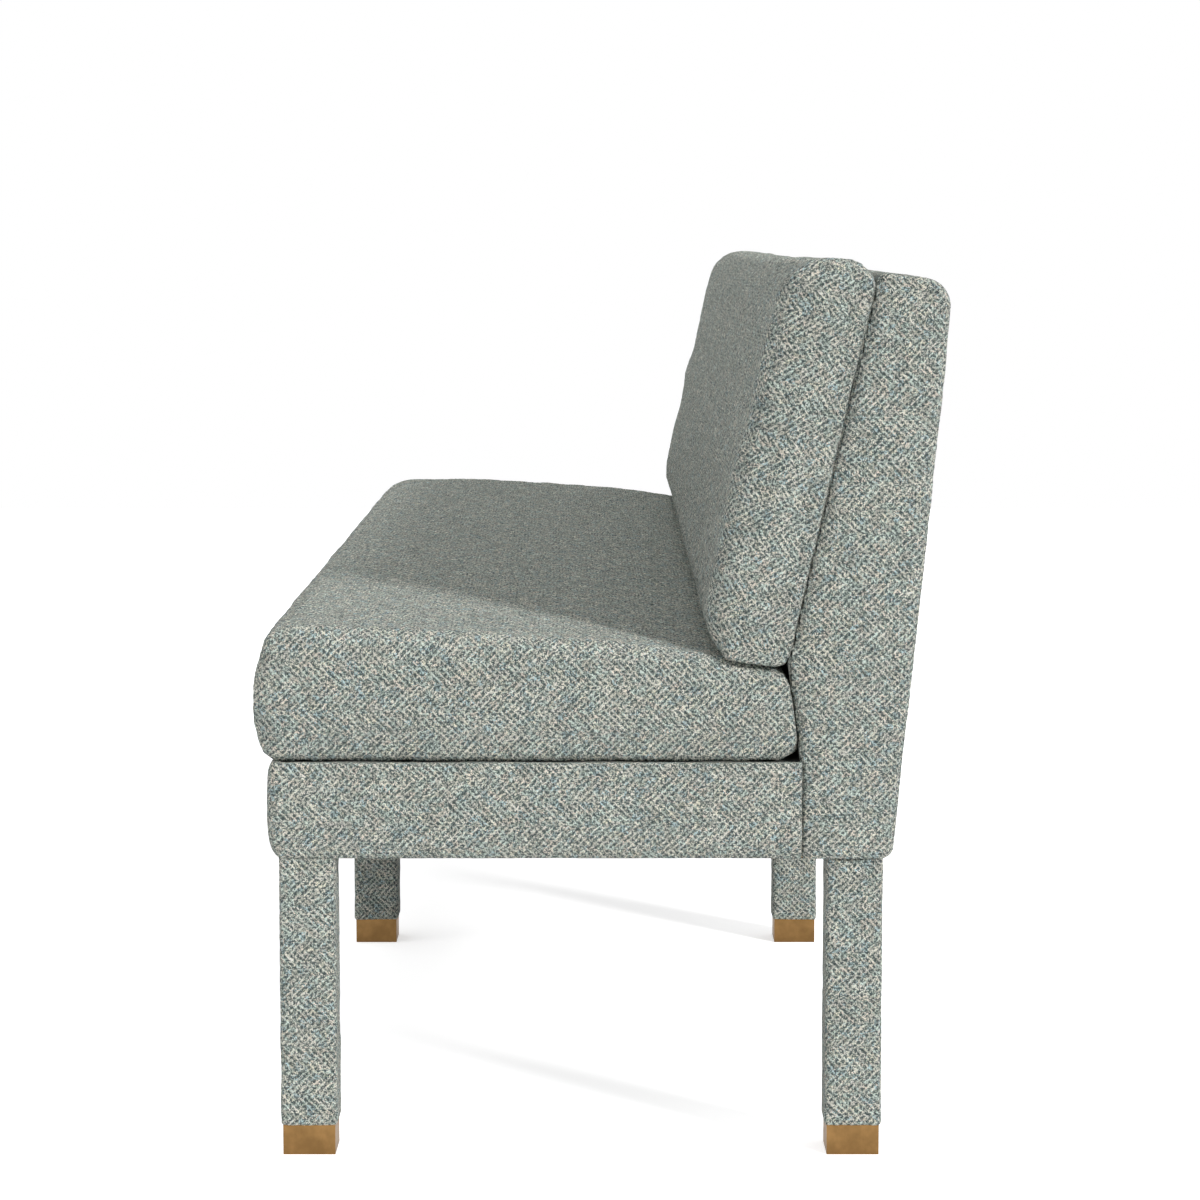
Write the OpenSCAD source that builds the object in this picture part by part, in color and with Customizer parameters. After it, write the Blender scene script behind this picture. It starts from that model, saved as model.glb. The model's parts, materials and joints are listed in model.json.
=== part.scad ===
// Upholstered banquette: six fabric-wrapped legs with brass caps, a padded base,
// a raked back frame, one loose seat cushion and one loose back cushion.
// Millimetres. +X runs along the length, the front faces -Y, +Z is up, and the
// origin is on the floor under the middle of the piece.

/* [Overall] */
// Length over the end covers
length = 2134; // [1700:2:2400]
// Depth from the front of the seat cushion to the rear of the back
depth = 682; // [660:2:720]
// Thickness of the cover fabric
cover = 2.4; // [1.6:0.1:3]

/* [Legs] */
// Floor to the underside of the base
leg_clear = 301; // [200:1:360]
// Side of the square wooden leg
leg_size = 51.6; // [46:0.2:56]
// Height of a brass cap
cap_height = 30.3; // [20:0.1:45]
// Side of a brass cap
cap_size = 52.2; // [50:0.1:56]
// Wall of a brass cap
cap_wall = 1.2; // [0.8:0.1:1.6]
// Bottom of a brass cap
cap_floor = 3; // [2.6:0.1:4]
// Gap between a cap and the foot inside it
cap_gap = 0.1; // [0.05:0.01:0.2]
// Shank radius of a cap screw
screw_r = 2; // [1.5:0.1:2.5]
// Length of a cap screw
screw_length = 22; // [16:1:30]
// Floor to the head of a cap screw
screw_lift = 0.3; // [0.1:0.1:0.5]
// Gap beyond the end of a cap screw in its hole
screw_end_gap = 1; // [0.5:0.1:2]
// Rear of the back to the rear face of the rear legs
rear_leg_inset = 62.2; // [60:0.1:66]

/* [Base] */
// Height of the padded base
base_height = 96.8; // [90:0.1:120]
// Padding between a rail and its cover at the fullest point
padding = 10.2; // [9:0.1:14]
// How far the base draws in at its top edge
top_tuck = 6.8; // [4:0.1:7]
// How far the base draws in at its bottom edge
bottom_tuck = 11.8; // [8:0.1:11.8]
// Front of the seat cushion beyond the front of the base
seat_overhang = 11.6; // [6:0.1:16]
// Thickness of the hardwood rails
rail_thick = 25; // [20:1:28]
// Drop of the quarter cross rails below the other rails
cross_rail_drop = 20; // [10:1:30]
// Thickness of the dust cover
dust_thick = 0.8; // [0.5:0.1:1.2]
// Length of a corner block along its rail
block_size = 60; // [56:1:70]
// Height of a corner block
block_height = 40; // [30:1:46]
// Floor of the base to the underside of a corner block
block_lift = 24; // [18:1:28]
// Shank radius of a corner block bolt
bolt_r = 4; // [3:0.5:5]
// How far a corner block bolt reaches into the leg
bolt_bite = 24; // [18:1:28]
// Head radius of a corner block bolt, across corners
bolt_head_r = 7.5; // [6:0.5:8]
// Head height of a corner block bolt
bolt_head = 5.3; // [4:0.1:6]
// Gap round a bolt or a screw in its hole
bolt_gap = 0.05; // [0.02:0.01:0.1]
// Gap beyond the end of a bolt in its hole
bolt_end_gap = 0.5; // [0.2:0.1:1]

/* [Deck] */
// Thickness of the webbing straps
webbing = 1.6; // [1.2:0.1:2]
// Width of a webbing strap
strap_width = 50; // [40:1:60]
// Seat straps from front to rear in each of the four bays
bay_straps = 4; // [3:1:4]
// Seat straps along the length
long_straps = 3; // [2:1:4]
// Thickness of the felt pad over the webbing
deck_pad_thick = 6.2; // [4:0.1:8]
// Gap between the rear of the deck and the quarter posts
deck_gap = 1; // [0.3:0.1:2]

/* [Back frame] */
// Floor to the front edge of the back frame's top
back_height = 880; // [820:1:940]
// Front-to-rear size of the back at the top of the seat cushion
back_thick = 121.5; // [115:0.5:130]
// Lean of the back's front face, in degrees
front_rake = 12.7; // [11:0.1:14]
// Lean of the back's rear face, in degrees
rear_rake = 5.5; // [4:0.1:7]
// Lean of the back's face behind the seat cushion, in degrees
lower_rake = 7.2; // [5:0.1:9]
// Rear top edge of the seat cushion down to the crease in the back's front face
crease_drop = 5; // [2:0.5:8]
// Slope of the back's top towards the rear, in degrees
top_slope = 7; // [3:0.5:10]
// Height at which the rear face reaches its full depth, below the top
rear_peak_drop = 36; // [30:1:45]
// Radius of the back's top rear corner
top_rear_r = 27; // [24:1:34]
// Radius of the back's top front corner
top_front_r = 10; // [9:0.5:14]
// Radius of the back's bottom rear corner
bottom_rear_r = 12; // [9:0.5:14]
// Rounding of the edges of the back's two end panels
edge_round = 8; // [5:0.5:8.5]
// Foam on the front of the back frame
back_foam = 20; // [14:1:24]
// Foam and cover over the top rail
top_foam = 20; // [14:1:24]
// Board across the rear of the back
board = 3; // [2:0.5:4]
// Wadding between that board and its cover
wadding = 3.6; // [2:0.1:4.4]
// Height of the back's top rails
top_rail_height = 42; // [34:1:60]
// Height of the back's lower rails
lower_rail_height = 42; // [34:1:50]
// Deck to the underside of the back's lower rails
lower_rail_lift = 6; // [2:1:10]
// Thickness of the back's lower rails
lower_rail_thick = 22; // [18:1:26]
// Width of the two quarter posts
quarter_post_width = 28; // [22:1:36]
// Straps across the back
back_straps = 5; // [4:1:6]
// Bare frame below the lowest of those straps and above the highest
back_strap_margin = 13; // [4:1:20]
// Top of the board below the foam on the top rail
board_drop = 6; // [2:0.5:12]

/* [Seat cushion] */
// Height of the seat cushion at its front
seat_front_height = 135.8; // [120:0.1:150]
// Height of the seat cushion at its rear
seat_rear_height = 102.6; // [95:0.1:110]
// Crown of the seat cushion's top
seat_crown = 3; // [1:0.5:6]
// Bulge of the seat cushion's front
seat_bulge = 8; // [4:0.5:10]
// Lean of the seat cushion's front, bottom to top
seat_front_lean = 7; // [0:0.5:14]
// Radius of the seat cushion's front edge at the bottom
seat_bottom_r = 16; // [12:1:24]
// Radius of its rear edge at the bottom
seat_heel_r = 8; // [6:0.5:14]
// Radius of its rear edge at the top
seat_rear_r = 16; // [10:1:24]
// Radius of its front edge at the top
seat_front_r = 24; // [16:1:34]
// Crown of a cushion's ends
end_crown = 5; // [3:0.5:10]
// Rounding of the edges round the seat cushion's ends
seat_end_r = 20; // [14:1:24]
// How far the seat cushion's side view draws in at the tip of an end
seat_end_draw = 40; // [32:1:42]
// Gap between a cushion and what it touches
soft_gap = 0.4; // [0.3:0.05:0.6]

/* [Back cushion] */
// Front-to-rear size of the back cushion
back_cushion_thick = 93; // [80:0.5:100]
// Top of the back cushion above the front edge of the back frame's top
back_cushion_rise = 15; // [8:1:24]
// Bulge of the back cushion's front
back_cushion_bulge = 4; // [2:0.5:6]
// Depth of the pinch across the back cushion's front
back_cushion_pinch = 4; // [0:0.5:5]
// Drawn-in depth of the cushion's top between its ends
back_cushion_dip = 1.5; // [0:0.5:4]
// Fall of the back cushion's top towards the back frame
back_cushion_fall = 6; // [0:0.5:10]
// End of the back cushion inside the end of the back frame
back_cushion_inset = 2; // [0:0.5:10]
// Radius of the back cushion's front edge at the bottom
back_cushion_bottom_r = 38; // [26:1:44]
// Radius of its rear edge at the bottom
back_cushion_heel_r = 10; // [6:0.5:16]
// Radius of its rear edge at the top
back_cushion_rear_r = 24; // [16:1:34]
// Radius of its front edge at the top
back_cushion_front_r = 44; // [30:1:50]
// Rounding of the edges round the back cushion's ends
back_end_r = 20; // [14:1:24]
// How far the back cushion's side view draws in at the tip of an end
back_end_draw = 28; // [25:1:34]
// Length of the cushion zips
zip_length = 760; // [500:10:1000]
// Width of a zip and its tape
zip_width = 16; // [12:1:20]
// Bottom of the back cushion to the middle of its zip
zip_rise = 40; // [30:1:60]

/* [Hidden] */

// Heights
skirt = cover + padding;
frame_bottom = leg_clear + dust_thick;
deck_top = leg_clear + base_height;
cloth_bottom = deck_top - cover;
long_strap_bottom = cloth_bottom - deck_pad_thick - webbing;
rail_top = long_strap_bottom - webbing;
block_bottom = frame_bottom + block_lift;
block_middle = block_bottom + block_height / 2;

// Faces of the wooden frame
frame_x = length / 2 - skirt;
frame_front = -depth / 2 + seat_overhang + skirt;
frame_rear = depth / 2 - rear_leg_inset;
leg_x = frame_x - leg_size / 2;
front_leg_y = frame_front + leg_size / 2;
rear_leg_y = frame_rear - leg_size / 2;
front_leg_back = frame_front + leg_size;
rear_leg_face = frame_rear - leg_size;
quarter_x = leg_x / 2;
bay_width = quarter_x;

// The legs, left to right
LEG_PLACES = [-leg_x, 0, leg_x];

// The back's side view as points (y, z): its rear and front lines
rear_peak = back_height - rear_peak_drop;
function y_rear(z) = depth / 2 - (rear_peak - z) * tan(rear_rake);
seat_edge_z = deck_top + seat_rear_height - crease_drop;
seat_edge_y = y_rear(seat_edge_z) - back_thick;
function y_front(z) = seat_edge_y + (z - seat_edge_z) * tan(front_rake);
base_seam_y = seat_edge_y + (seat_edge_z - deck_top) * tan(lower_rake);
function y_lower(z) =
    seat_edge_y + (seat_edge_z - z) * tan(lower_rake) + front_layers / cos(lower_rake);
top_rear_drop = (y_rear(back_height) - y_front(back_height)) * tan(top_slope);
top_rear_z = back_height - top_rear_drop;

BACK_POINTS = [
    [base_seam_y, leg_clear],
    [y_rear(leg_clear), leg_clear],
    [y_rear(top_rear_z), top_rear_z],
    [y_front(back_height), back_height],
    [seat_edge_y, seat_edge_z],
    [base_seam_y, deck_top]
];
BACK_RADII = [0, bottom_rear_r, top_rear_r, top_front_r, 0, 0];
front_layers = cover + back_foam + webbing;
rear_layers = cover + wadding + board;
ARC_STEPS = 5;
EDGE_STEPS = 3;
LEAST_RADIUS = 0.6;
HOLE_FACETS = 32;
CORNER_FACETS = 48;
// Beyond the piece on every side, and how far a cutting shape reaches past what it cuts
far = 2000;
past = 1;

// Outline of a polygon with round corners, each edge moved inwards by its own inset
function unit(v) = v / norm(v);
function outward(p, q) = [(q - p)[1], (p - q)[0]] / norm(q - p);
function moved_corner(p, n1, n2, in1, in2) =
    let(c = n1[0] * n2[1] - n1[1] * n2[0], a = n1 * p - in1, b = n2 * p - in2)
    [(a * n2[1] - b * n1[1]) / c, (b * n1[0] - a * n2[0]) / c];
function corner_arc(points, radii, insets, i, steps) =
    let(
        n = len(points),
        n1 = outward(points[(i + n - 1) % n], points[i]),
        n2 = outward(points[i], points[(i + 1) % n]),
        in1 = insets[(i + n - 1) % n],
        in2 = insets[i],
        p = moved_corner(points[i], n1, n2, in1, in2),
        r = radii[i] == 0 ? 0 : max(radii[i] - min(in1, in2), LEAST_RADIUS),
        a1 = atan2(n1[1], n1[0]),
        turn = (atan2(n2[1], n2[0]) - a1 + 360) % 360,
        centre = moved_corner(p, n1, n2, r, r)
    )
    r == 0 ? [p] : [for (k = [0:steps]) let(a = a1 + turn * k / steps) centre + r * [cos(a), sin(a)]];
function even(n, value) = [for (i = [1:n]) value];
function middle(ring) = [for (k = [1:len(ring)]) 1] * ring / len(ring);
function outline(points, radii, insets) =
    [for (i = [0:len(points) - 1]) each corner_arc(points, radii, insets, i, ARC_STEPS)];
function back_outline(inset) = outline(BACK_POINTS, BACK_RADII, even(6, inset));

// A closed solid through rings of points that all have the same number of points
module loft(rings) {
    n = len(rings[0]);
    m = len(rings);
    last = (m - 1) * n;
    sides = [
        for (k = [0:m - 2]) for (i = [0:n - 1])
            let(a = k * n + i, b = k * n + (i + 1) % n)
            each [[a, a + n, b + n], [a, b + n, b]]
    ];
    ends = [
        for (i = [0:n - 1]) let(j = (i + 1) % n)
            each [[m * n, i, j], [m * n + 1, last + j, last + i]]
    ];
    points = [for (ring = rings) each ring];
    polyhedron(concat(points, [middle(rings[0]), middle(rings[m - 1])]), concat(sides, ends), convexity = 6);
}

// Draws a side view, with y across and z up, from x0 to x1
module along_x(x0, x1) {
    translate([x0, 0, 0]) rotate([90, 0, 90]) linear_extrude(x1 - x0) children();
}
module box(x0, x1, y0, y1, z0, z1) {
    translate([x0, y0, z0]) cube([x1 - x0, y1 - y0, z1 - z0]);
}
module band(z0, z1) {
    translate([-far, z0]) square([2 * far, z1 - z0]);
}
module band_up(z0, z1) {
    translate([0, z0]) square([far, z1 - z0]);
}

// Hole for a block bolt, from the inner corner of a leg towards its middle
module block_hole(x, y, sx, sy, r) {
    translate([x, y, block_middle]) rotate([0, 90, atan2(sy, sx)])
        translate([0, 0, -block_size]) cylinder(r = r, h = block_size + bolt_bite, $fn = HOLE_FACETS);
}

// Legs and posts
module leg_block(x, y, top) {
    foot = cap_size / 2 - cap_wall - cap_gap;
    half = leg_size / 2;
    difference() {
        union() {
            box(x - foot, x + foot, y - foot, y + foot, cap_floor, cap_height);
            box(x - half, x + half, y - half, y + half, cap_height, top);
        }
        translate([x, y, 0])
            cylinder(r = screw_r + bolt_gap, h = screw_length + screw_end_gap, $fn = HOLE_FACETS);
    }
}
module leg_bolt_holes(x, y, front) {
    half = leg_size / 2;
    side = front ? 1 : -1;
    for (s = x == 0 ? [-1, 1] : [-sign(x)])
        block_hole(x + s * half, y + side * half, -s, -side, bolt_r + bolt_gap);
}
module front_leg(x) {
    color("burlywood") difference() {
        leg_block(x, front_leg_y, rail_top);
        leg_bolt_holes(x, front_leg_y, true);
    }
}
module back_core() {
    insets = [0, rear_layers, top_foam, front_layers, front_layers, front_layers];
    polygon(outline(BACK_POINTS, BACK_RADII, insets));
}
module rear_post(x) {
    color("burlywood") difference() {
        union() {
            leg_block(x, rear_leg_y, rail_top);
            along_x(x - leg_size / 2, x + leg_size / 2) intersection() {
                back_core();
                band(rail_top, far);
            }
        }
        leg_bolt_holes(x, rear_leg_y, false);
    }
}
module sleeve(x, y) {
    outer = leg_size / 2 + cover;
    half = leg_size / 2;
    corners = [[-outer, -outer], [outer, -outer], [outer, outer], [-outer, outer]];
    color("#8d9a92") translate([x, y, cap_height]) difference() {
        linear_extrude(leg_clear - cap_height) polygon(outline(corners, even(4, cover), even(4, 0)));
        translate([-half, -half, -past]) cube([leg_size, leg_size, leg_clear]);
    }
}
module cap(x, y) {
    half = cap_size / 2;
    inner = half - cap_wall;
    color("#b48a4e") difference() {
        box(x - half, x + half, y - half, y + half, 0, cap_height);
        box(x - inner, x + inner, y - inner, y + inner, cap_floor, cap_height + past);
        translate([x, y, -past])
            cylinder(r = screw_r + bolt_gap, h = cap_floor + 2 * past, $fn = HOLE_FACETS);
        translate([x, y, 0])
            cylinder(r1 = 2 * screw_r + bolt_gap, r2 = screw_r + bolt_gap, h = screw_r, $fn = HOLE_FACETS);
    }
}
module cap_screw(x, y) {
    color("silver") translate([x, y, screw_lift]) {
        cylinder(r1 = 2 * screw_r - screw_lift, r2 = screw_r, h = screw_r - screw_lift, $fn = HOLE_FACETS);
        cylinder(r = screw_r, h = screw_length - screw_lift, $fn = HOLE_FACETS);
    }
}
module cap_screws() {
    for (x = LEG_PLACES) for (y = [front_leg_y, rear_leg_y]) cap_screw(x, y);
}

// Rails of the base
module long_rail(side, y) {
    inner = leg_size / 2;
    outer = leg_x - leg_size / 2;
    x0 = side < 0 ? -outer : inner;
    color("tan") box(x0, x0 + outer - inner, y, y + rail_thick, frame_bottom, rail_top);
}
module end_rail(side) {
    x0 = side < 0 ? -frame_x : frame_x - rail_thick;
    color("tan") box(x0, x0 + rail_thick, front_leg_back, rear_leg_face, frame_bottom, rail_top);
}
module middle_cross_rail() {
    half = rail_thick / 2;
    color("tan") box(-half, half, front_leg_back, rear_leg_face, frame_bottom, rail_top);
}
module quarter_cross_rails() {
    half = rail_thick / 2;
    y0 = frame_front + rail_thick;
    y1 = base_seam_y + front_layers;
    color("tan") for (x = [-quarter_x, quarter_x])
        box(x - half, x + half, y0, y1, frame_bottom, rail_top - cross_rail_drop);
}

// Blocks notched round the inner corners of the legs, each with one bolt into its leg
module corner_block(x, y, sx, sy, reach) {
    notch = leg_size - rail_thick;
    run = block_size - notch;
    color("peru") difference() {
        translate([x, y, block_bottom]) scale_to(sx, sy) linear_extrude(block_height)
            polygon([[-block_size, -notch], [0, -notch], [0, 0], [reach, 0], [reach, reach + run]]);
        block_hole(x, y, sx, sy, bolt_r + bolt_gap);
    }
}
module scale_to(sx, sy) {
    mirror([sx < 0 ? 1 : 0, 0, 0]) mirror([0, sy > 0 ? 1 : 0, 0]) children();
}
module at_leg_corners() {
    half = leg_size / 2;
    for (side = [-1, 1]) for ($sy = [-1, 1]) for (outer = [true, false]) {
        $sx = outer ? side : -side;
        $x = side * (outer ? leg_x - half : half);
        $y = $sy < 0 ? front_leg_back : rear_leg_face;
        $reach = (outer ? leg_size : half) - (outer ? rail_thick : rail_thick / 2);
        children();
    }
}
module corner_blocks() {
    at_leg_corners() corner_block($x, $y, $sx, $sy, $reach);
}
module block_bolts() {
    through = (block_size - (leg_size - rail_thick)) / sqrt(2);
    color("silver") at_leg_corners()
        translate([$x, $y, block_middle]) rotate([0, 90, atan2($sy, $sx)])
            translate([0, 0, -through]) {
                cylinder(r = bolt_r, h = through + bolt_bite - bolt_end_gap, $fn = HOLE_FACETS);
                translate([0, 0, -bolt_head]) cylinder(r = bolt_head_r, h = bolt_head, $fn = 6);
            }
}

// Back frame
module quarter_back_posts() {
    half = quarter_post_width / 2;
    color("tan") for (x = [-quarter_x, quarter_x]) {
        along_x(x - half, x + half) intersection() {
            back_core();
            band(rail_top, back_height - top_foam - top_rail_height);
        }
        y0 = base_seam_y + front_layers;
        box(x - half, x + half, y0, frame_rear - rail_thick, frame_bottom, rail_top);
    }
}
module between_posts() {
    for (x = [-leg_x + leg_size / 2, leg_size / 2])
        along_x(x, x + leg_x - leg_size) children();
}
module back_top_rails() {
    color("tan") between_posts() intersection() {
        back_core();
        band(back_height - top_foam - top_rail_height, back_height);
    }
}
module back_lower_rails() {
    z0 = deck_top + lower_rail_lift;
    z1 = z0 + lower_rail_height;
    half = quarter_post_width / 2;
    color("tan") difference() {
        between_posts() polygon([
            [y_lower(z0), z0],
            [y_lower(z0) + lower_rail_thick, z0],
            [y_lower(z1) + lower_rail_thick, z1],
            [y_lower(z1), z1]
        ]);
        for (x = [-quarter_x, quarter_x])
            box(x - half, x + half, 0, far, 0, far);
    }
}
function front_outline(inset) = outline(BACK_POINTS, BACK_RADII, [0, 0, 0, inset, inset, inset]);
module between(near, deep) {
    difference() {
        polygon(near);
        polygon(deep);
    }
}
module under_top_foam() {
    polygon(outline(BACK_POINTS, even(6, 0), [-past, -past, top_foam, -past, -past, -past]));
}
module back_webbing() {
    low = seat_edge_z + back_strap_margin + strap_width / 2;
    high = back_height - top_foam - back_strap_margin - strap_width / 2;
    step = (high - low) / (back_straps - 1);
    color("dimgray") along_x(-frame_x, frame_x) intersection() {
        between(front_outline(cover + back_foam), front_outline(front_layers));
        for (i = [0:back_straps - 1])
            band(low + i * step - strap_width / 2, low + i * step + strap_width / 2);
    }
}
module inside_back_foam() {
    color("khaki") along_x(-frame_x, frame_x) intersection() {
        between(back_outline(cover), front_outline(cover + back_foam));
        under_top_foam();
        band(deck_top, far);
    }
}
module top_back_foam() {
    color("khaki") along_x(-frame_x, frame_x) difference() {
        polygon(back_outline(cover));
        under_top_foam();
    }
}
module cover_ring() {
    between(back_outline(0), back_outline(cover));
}
module rear_zone() {
    translate([frame_rear, 0]) square([far, rear_peak]);
}
module inside_back_cover() {
    color("#8d9a92") along_x(-frame_x, frame_x) intersection() {
        difference() {
            cover_ring();
            rear_zone();
        }
        band(deck_top, far);
    }
}
module outside_back_cover() {
    color("#8d9a92") along_x(-frame_x, frame_x) intersection() {
        cover_ring();
        rear_zone();
    }
}
module rear_strip(near, deep) {
    intersection() {
        between(
            outline(BACK_POINTS, BACK_RADII, [near, near, near, 0, 0, 0]),
            outline(BACK_POINTS, BACK_RADII, [near, deep, near, 0, 0, 0])
        );
        translate([frame_rear, 0]) band_up(frame_bottom, top_rear_z - top_foam - board_drop);
    }
}
module outside_back_wadding() {
    color("white") along_x(-frame_x, frame_x) rear_strip(cover, cover + wadding);
}
module outside_back_board() {
    color("sienna") along_x(-frame_x, frame_x) rear_strip(cover + wadding, rear_layers);
}

// Deck
module seat_webbing() {
    bay_clear = bay_width - quarter_post_width;
    pitch = bay_clear / bay_straps;
    color("dimgray") for (bay = [-2:1]) for (i = [0:bay_straps - 1]) {
        x = bay * bay_width + quarter_post_width / 2 + (i + 0.5) * pitch;
        half = strap_width / 2;
        box(x - half, x + half, frame_front, frame_rear, rail_top, rail_top + webbing);
    }
}
module long_seat_webbing() {
    pitch = (rear_leg_face - front_leg_back) / long_straps;
    color("dimgray") for (i = [0:long_straps - 1]) {
        y = front_leg_back + (i + 0.5) * pitch;
        z = long_strap_bottom;
        box(-frame_x, frame_x, y - strap_width / 2, y + strap_width / 2, z, z + webbing);
    }
}
module deck_pad() {
    z = cloth_bottom - deck_pad_thick;
    y1 = base_seam_y + front_layers - deck_gap;
    color("gray") box(-frame_x, frame_x, frame_front, y1, z, cloth_bottom);
}
module deck_cloth() {
    y1 = base_seam_y + front_layers - deck_gap;
    color("#5b5b58") box(-frame_x, frame_x, frame_front, y1, cloth_bottom, deck_top);
}
module dust_cover() {
    half = leg_size / 2 + cap_gap;
    color("#2a2a2a") difference() {
        box(-frame_x, frame_x, frame_front, frame_rear, leg_clear, frame_bottom);
        for (x = LEG_PLACES) for (y = [front_leg_y, rear_leg_y])
            box(x - half, x + half, y - half, y + half, 0, rail_top);
    }
}

// Padded skirt of the base: how far it stands out at a share of its height
FULLEST = 0.53;
SKIRT_STEPS = 14;
function skirt_out(share) =
    share > FULLEST
        ? skirt - top_tuck * pow((share - FULLEST) / (1 - FULLEST), 3)
        : skirt - bottom_tuck * pow((FULLEST - share) / FULLEST, 4);
function skirt_points(inset, z1) = [
    for (i = [0:SKIRT_STEPS])
        let(z = leg_clear + inset + (z1 - leg_clear - inset) * i / SKIRT_STEPS)
        [max(skirt_out((z - leg_clear) / base_height) - inset, 0), z]
];
module skirt_padding_profile() {
    side = skirt_points(cover, cloth_bottom);
    polygon(concat([[0, side[0][1]]], side, [[0, cloth_bottom]]));
}
module skirt_cover_profile() {
    difference() {
        polygon(concat([[0, leg_clear]], skirt_points(0, deck_top), [[0, deck_top]]));
        skirt_padding_profile();
    }
}
module front_skirt() {
    along_x(-frame_x, frame_x) translate([frame_front, 0]) mirror([1, 0]) children();
}
module end_skirt() {
    translate([frame_x, base_seam_y, 0]) rotate([90, 0, 0])
        linear_extrude(base_seam_y - frame_front) children();
    translate([frame_x, frame_front, 0]) rotate([0, 0, -90])
        rotate_extrude(angle = 90, $fn = 48) children();
}
module front_apron_padding() {
    color("white") front_skirt() skirt_padding_profile();
}
module front_apron_cover() {
    color("#8d9a92") front_skirt() skirt_cover_profile();
}
module right_apron_padding() {
    color("white") end_skirt() skirt_padding_profile();
}
module right_apron_cover() {
    color("#8d9a92") end_skirt() skirt_cover_profile();
}

// End panels of the back, with rounded edges except at the seam beside the skirt
PANEL_STEPS = 4;
function panel_ring(x, inset, drawn) = [
    for (p = outline(BACK_POINTS, BACK_RADII, [for (i = [0:5]) inset + (i < 5 ? drawn : 0)]))
        [x, p[0], p[1]]
];
function panel_rings(inset, x0) = [
    panel_ring(x0, inset, 0),
    for (i = [0:PANEL_STEPS])
        let(a = 90 * i / PANEL_STEPS, r = edge_round - inset)
        panel_ring(length / 2 - edge_round + r * sin(a), inset, r * (1 - cos(a)))
];
module right_back_padding() {
    color("white") loft(panel_rings(cover, frame_x));
}
module right_back_cover() {
    color("#8d9a92") difference() {
        loft(panel_rings(0, frame_x));
        loft(panel_rings(cover, frame_x - past));
    }
}

// Cushions: rings of a rounded quadrilateral, bulged along its edges and drawn in at the ends
function bulge_shape(t) = 4 * t * (1 - t);
PINCH_PLACE = 0.42;
PINCH_SPREAD = 0.1;
function pinch_shape(t) = exp(-pow((t - PINCH_PLACE) / PINCH_SPREAD, 2));
function cushion_edge(points, radii, insets, i, mids, bulge, pinch) =
    let(
        n = len(points),
        a = corner_arc(points, radii, insets, i, EDGE_STEPS)[EDGE_STEPS],
        b = corner_arc(points, radii, insets, (i + 1) % n, EDGE_STEPS)[0],
        out = outward(points[i], points[(i + 1) % n])
    )
    [
        for (k = [1:mids]) let(t = k / (mids + 1))
            a + (b - a) * t + out * (bulge * bulge_shape(t) - pinch * pinch_shape(t))
    ];
function cushion_section(points, radii, inset, mids, bulges, pinch) =
    let(insets = even(4, inset))
    [
        for (i = [0:3]) each concat(
            corner_arc(points, radii, insets, i, EDGE_STEPS),
            cushion_edge(points, radii, insets, i, mids[i], bulges[i], i == 3 ? pinch : 0)
        )
    ];
END_INSETS = [1, 0.62, 0.34, 0.13, 0.03, 0];
// Distance of a ring from the cushion's tip, by how far the ring is drawn in
function end_setback(inset, deepest, r) =
    inset > r
        ? end_crown * pow((deepest - inset) / (deepest - r), 2)
        : end_crown + r - sqrt(r * r - pow(r - inset, 2));
// Fullness along the length: 1 in the middle and 0 at the ends
function fullness(share) = 1 - pow(abs(share), 6);

// Seat cushion
seat_bottom = deck_top + soft_gap;
seat_front_y = -depth / 2 + seat_bulge - seat_front_lean / 2;
seat_top_z = deck_top + seat_front_height;
seat_rear_z = deck_top + seat_rear_height;
function y_seat_rear(z) = base_seam_y - soft_gap - (z - deck_top) * tan(lower_rake);
SEAT_POINTS = [
    [seat_front_y, seat_bottom],
    [y_seat_rear(deck_top), seat_bottom],
    [y_seat_rear(seat_rear_z), seat_rear_z],
    [seat_front_y + seat_front_lean, seat_top_z]
];
SEAT_RADII = [seat_bottom_r, seat_heel_r, seat_rear_r, seat_front_r];
SEAT_MIDS = [3, 2, 5, 3];
SEAT_STATIONS = [-0.6, -0.2, 0.2, 0.6];
function seat_section(x, inset, drawn) = [
    for (p = cushion_section(
        SEAT_POINTS, SEAT_RADII, inset + drawn, SEAT_MIDS,
        [0, 0, seat_crown, seat_bulge] * (1 - drawn / seat_end_draw), 0))
        [x, p[0], p[1]]
];
function seat_rings(inset) = [
    for (s = END_INSETS) let(d = s * seat_end_draw)
        seat_section(-length / 2 + inset + end_setback(d, seat_end_draw, seat_end_r), inset, d),
    for (s = SEAT_STATIONS) seat_section(s * length / 2, inset, 0),
    for (k = [len(END_INSETS) - 1:-1:0]) let(d = END_INSETS[k] * seat_end_draw)
        seat_section(length / 2 - inset - end_setback(d, seat_end_draw, seat_end_r), inset, d)
];
module seat_zip_zone() {
    z = (seat_bottom + seat_rear_z) / 2;
    zip_zone(y_seat_rear(z), z);
}
module zip_zone(y, z) {
    long = zip_length / 2;
    high = zip_width / 2;
    box(-long, long, y - zip_width, y + zip_width, z - high, z + high);
}
module seat_shell() {
    difference() {
        loft(seat_rings(0));
        loft(seat_rings(cover));
    }
}
module seat_cushion_cover() {
    color("#8d9a92") difference() {
        seat_shell();
        seat_zip_zone();
    }
}
module seat_cushion_core() {
    color("khaki") loft(seat_rings(cover));
}
module seat_cushion_zip() {
    color("#6d7a72") intersection() {
        seat_shell();
        seat_zip_zone();
    }
}

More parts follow.
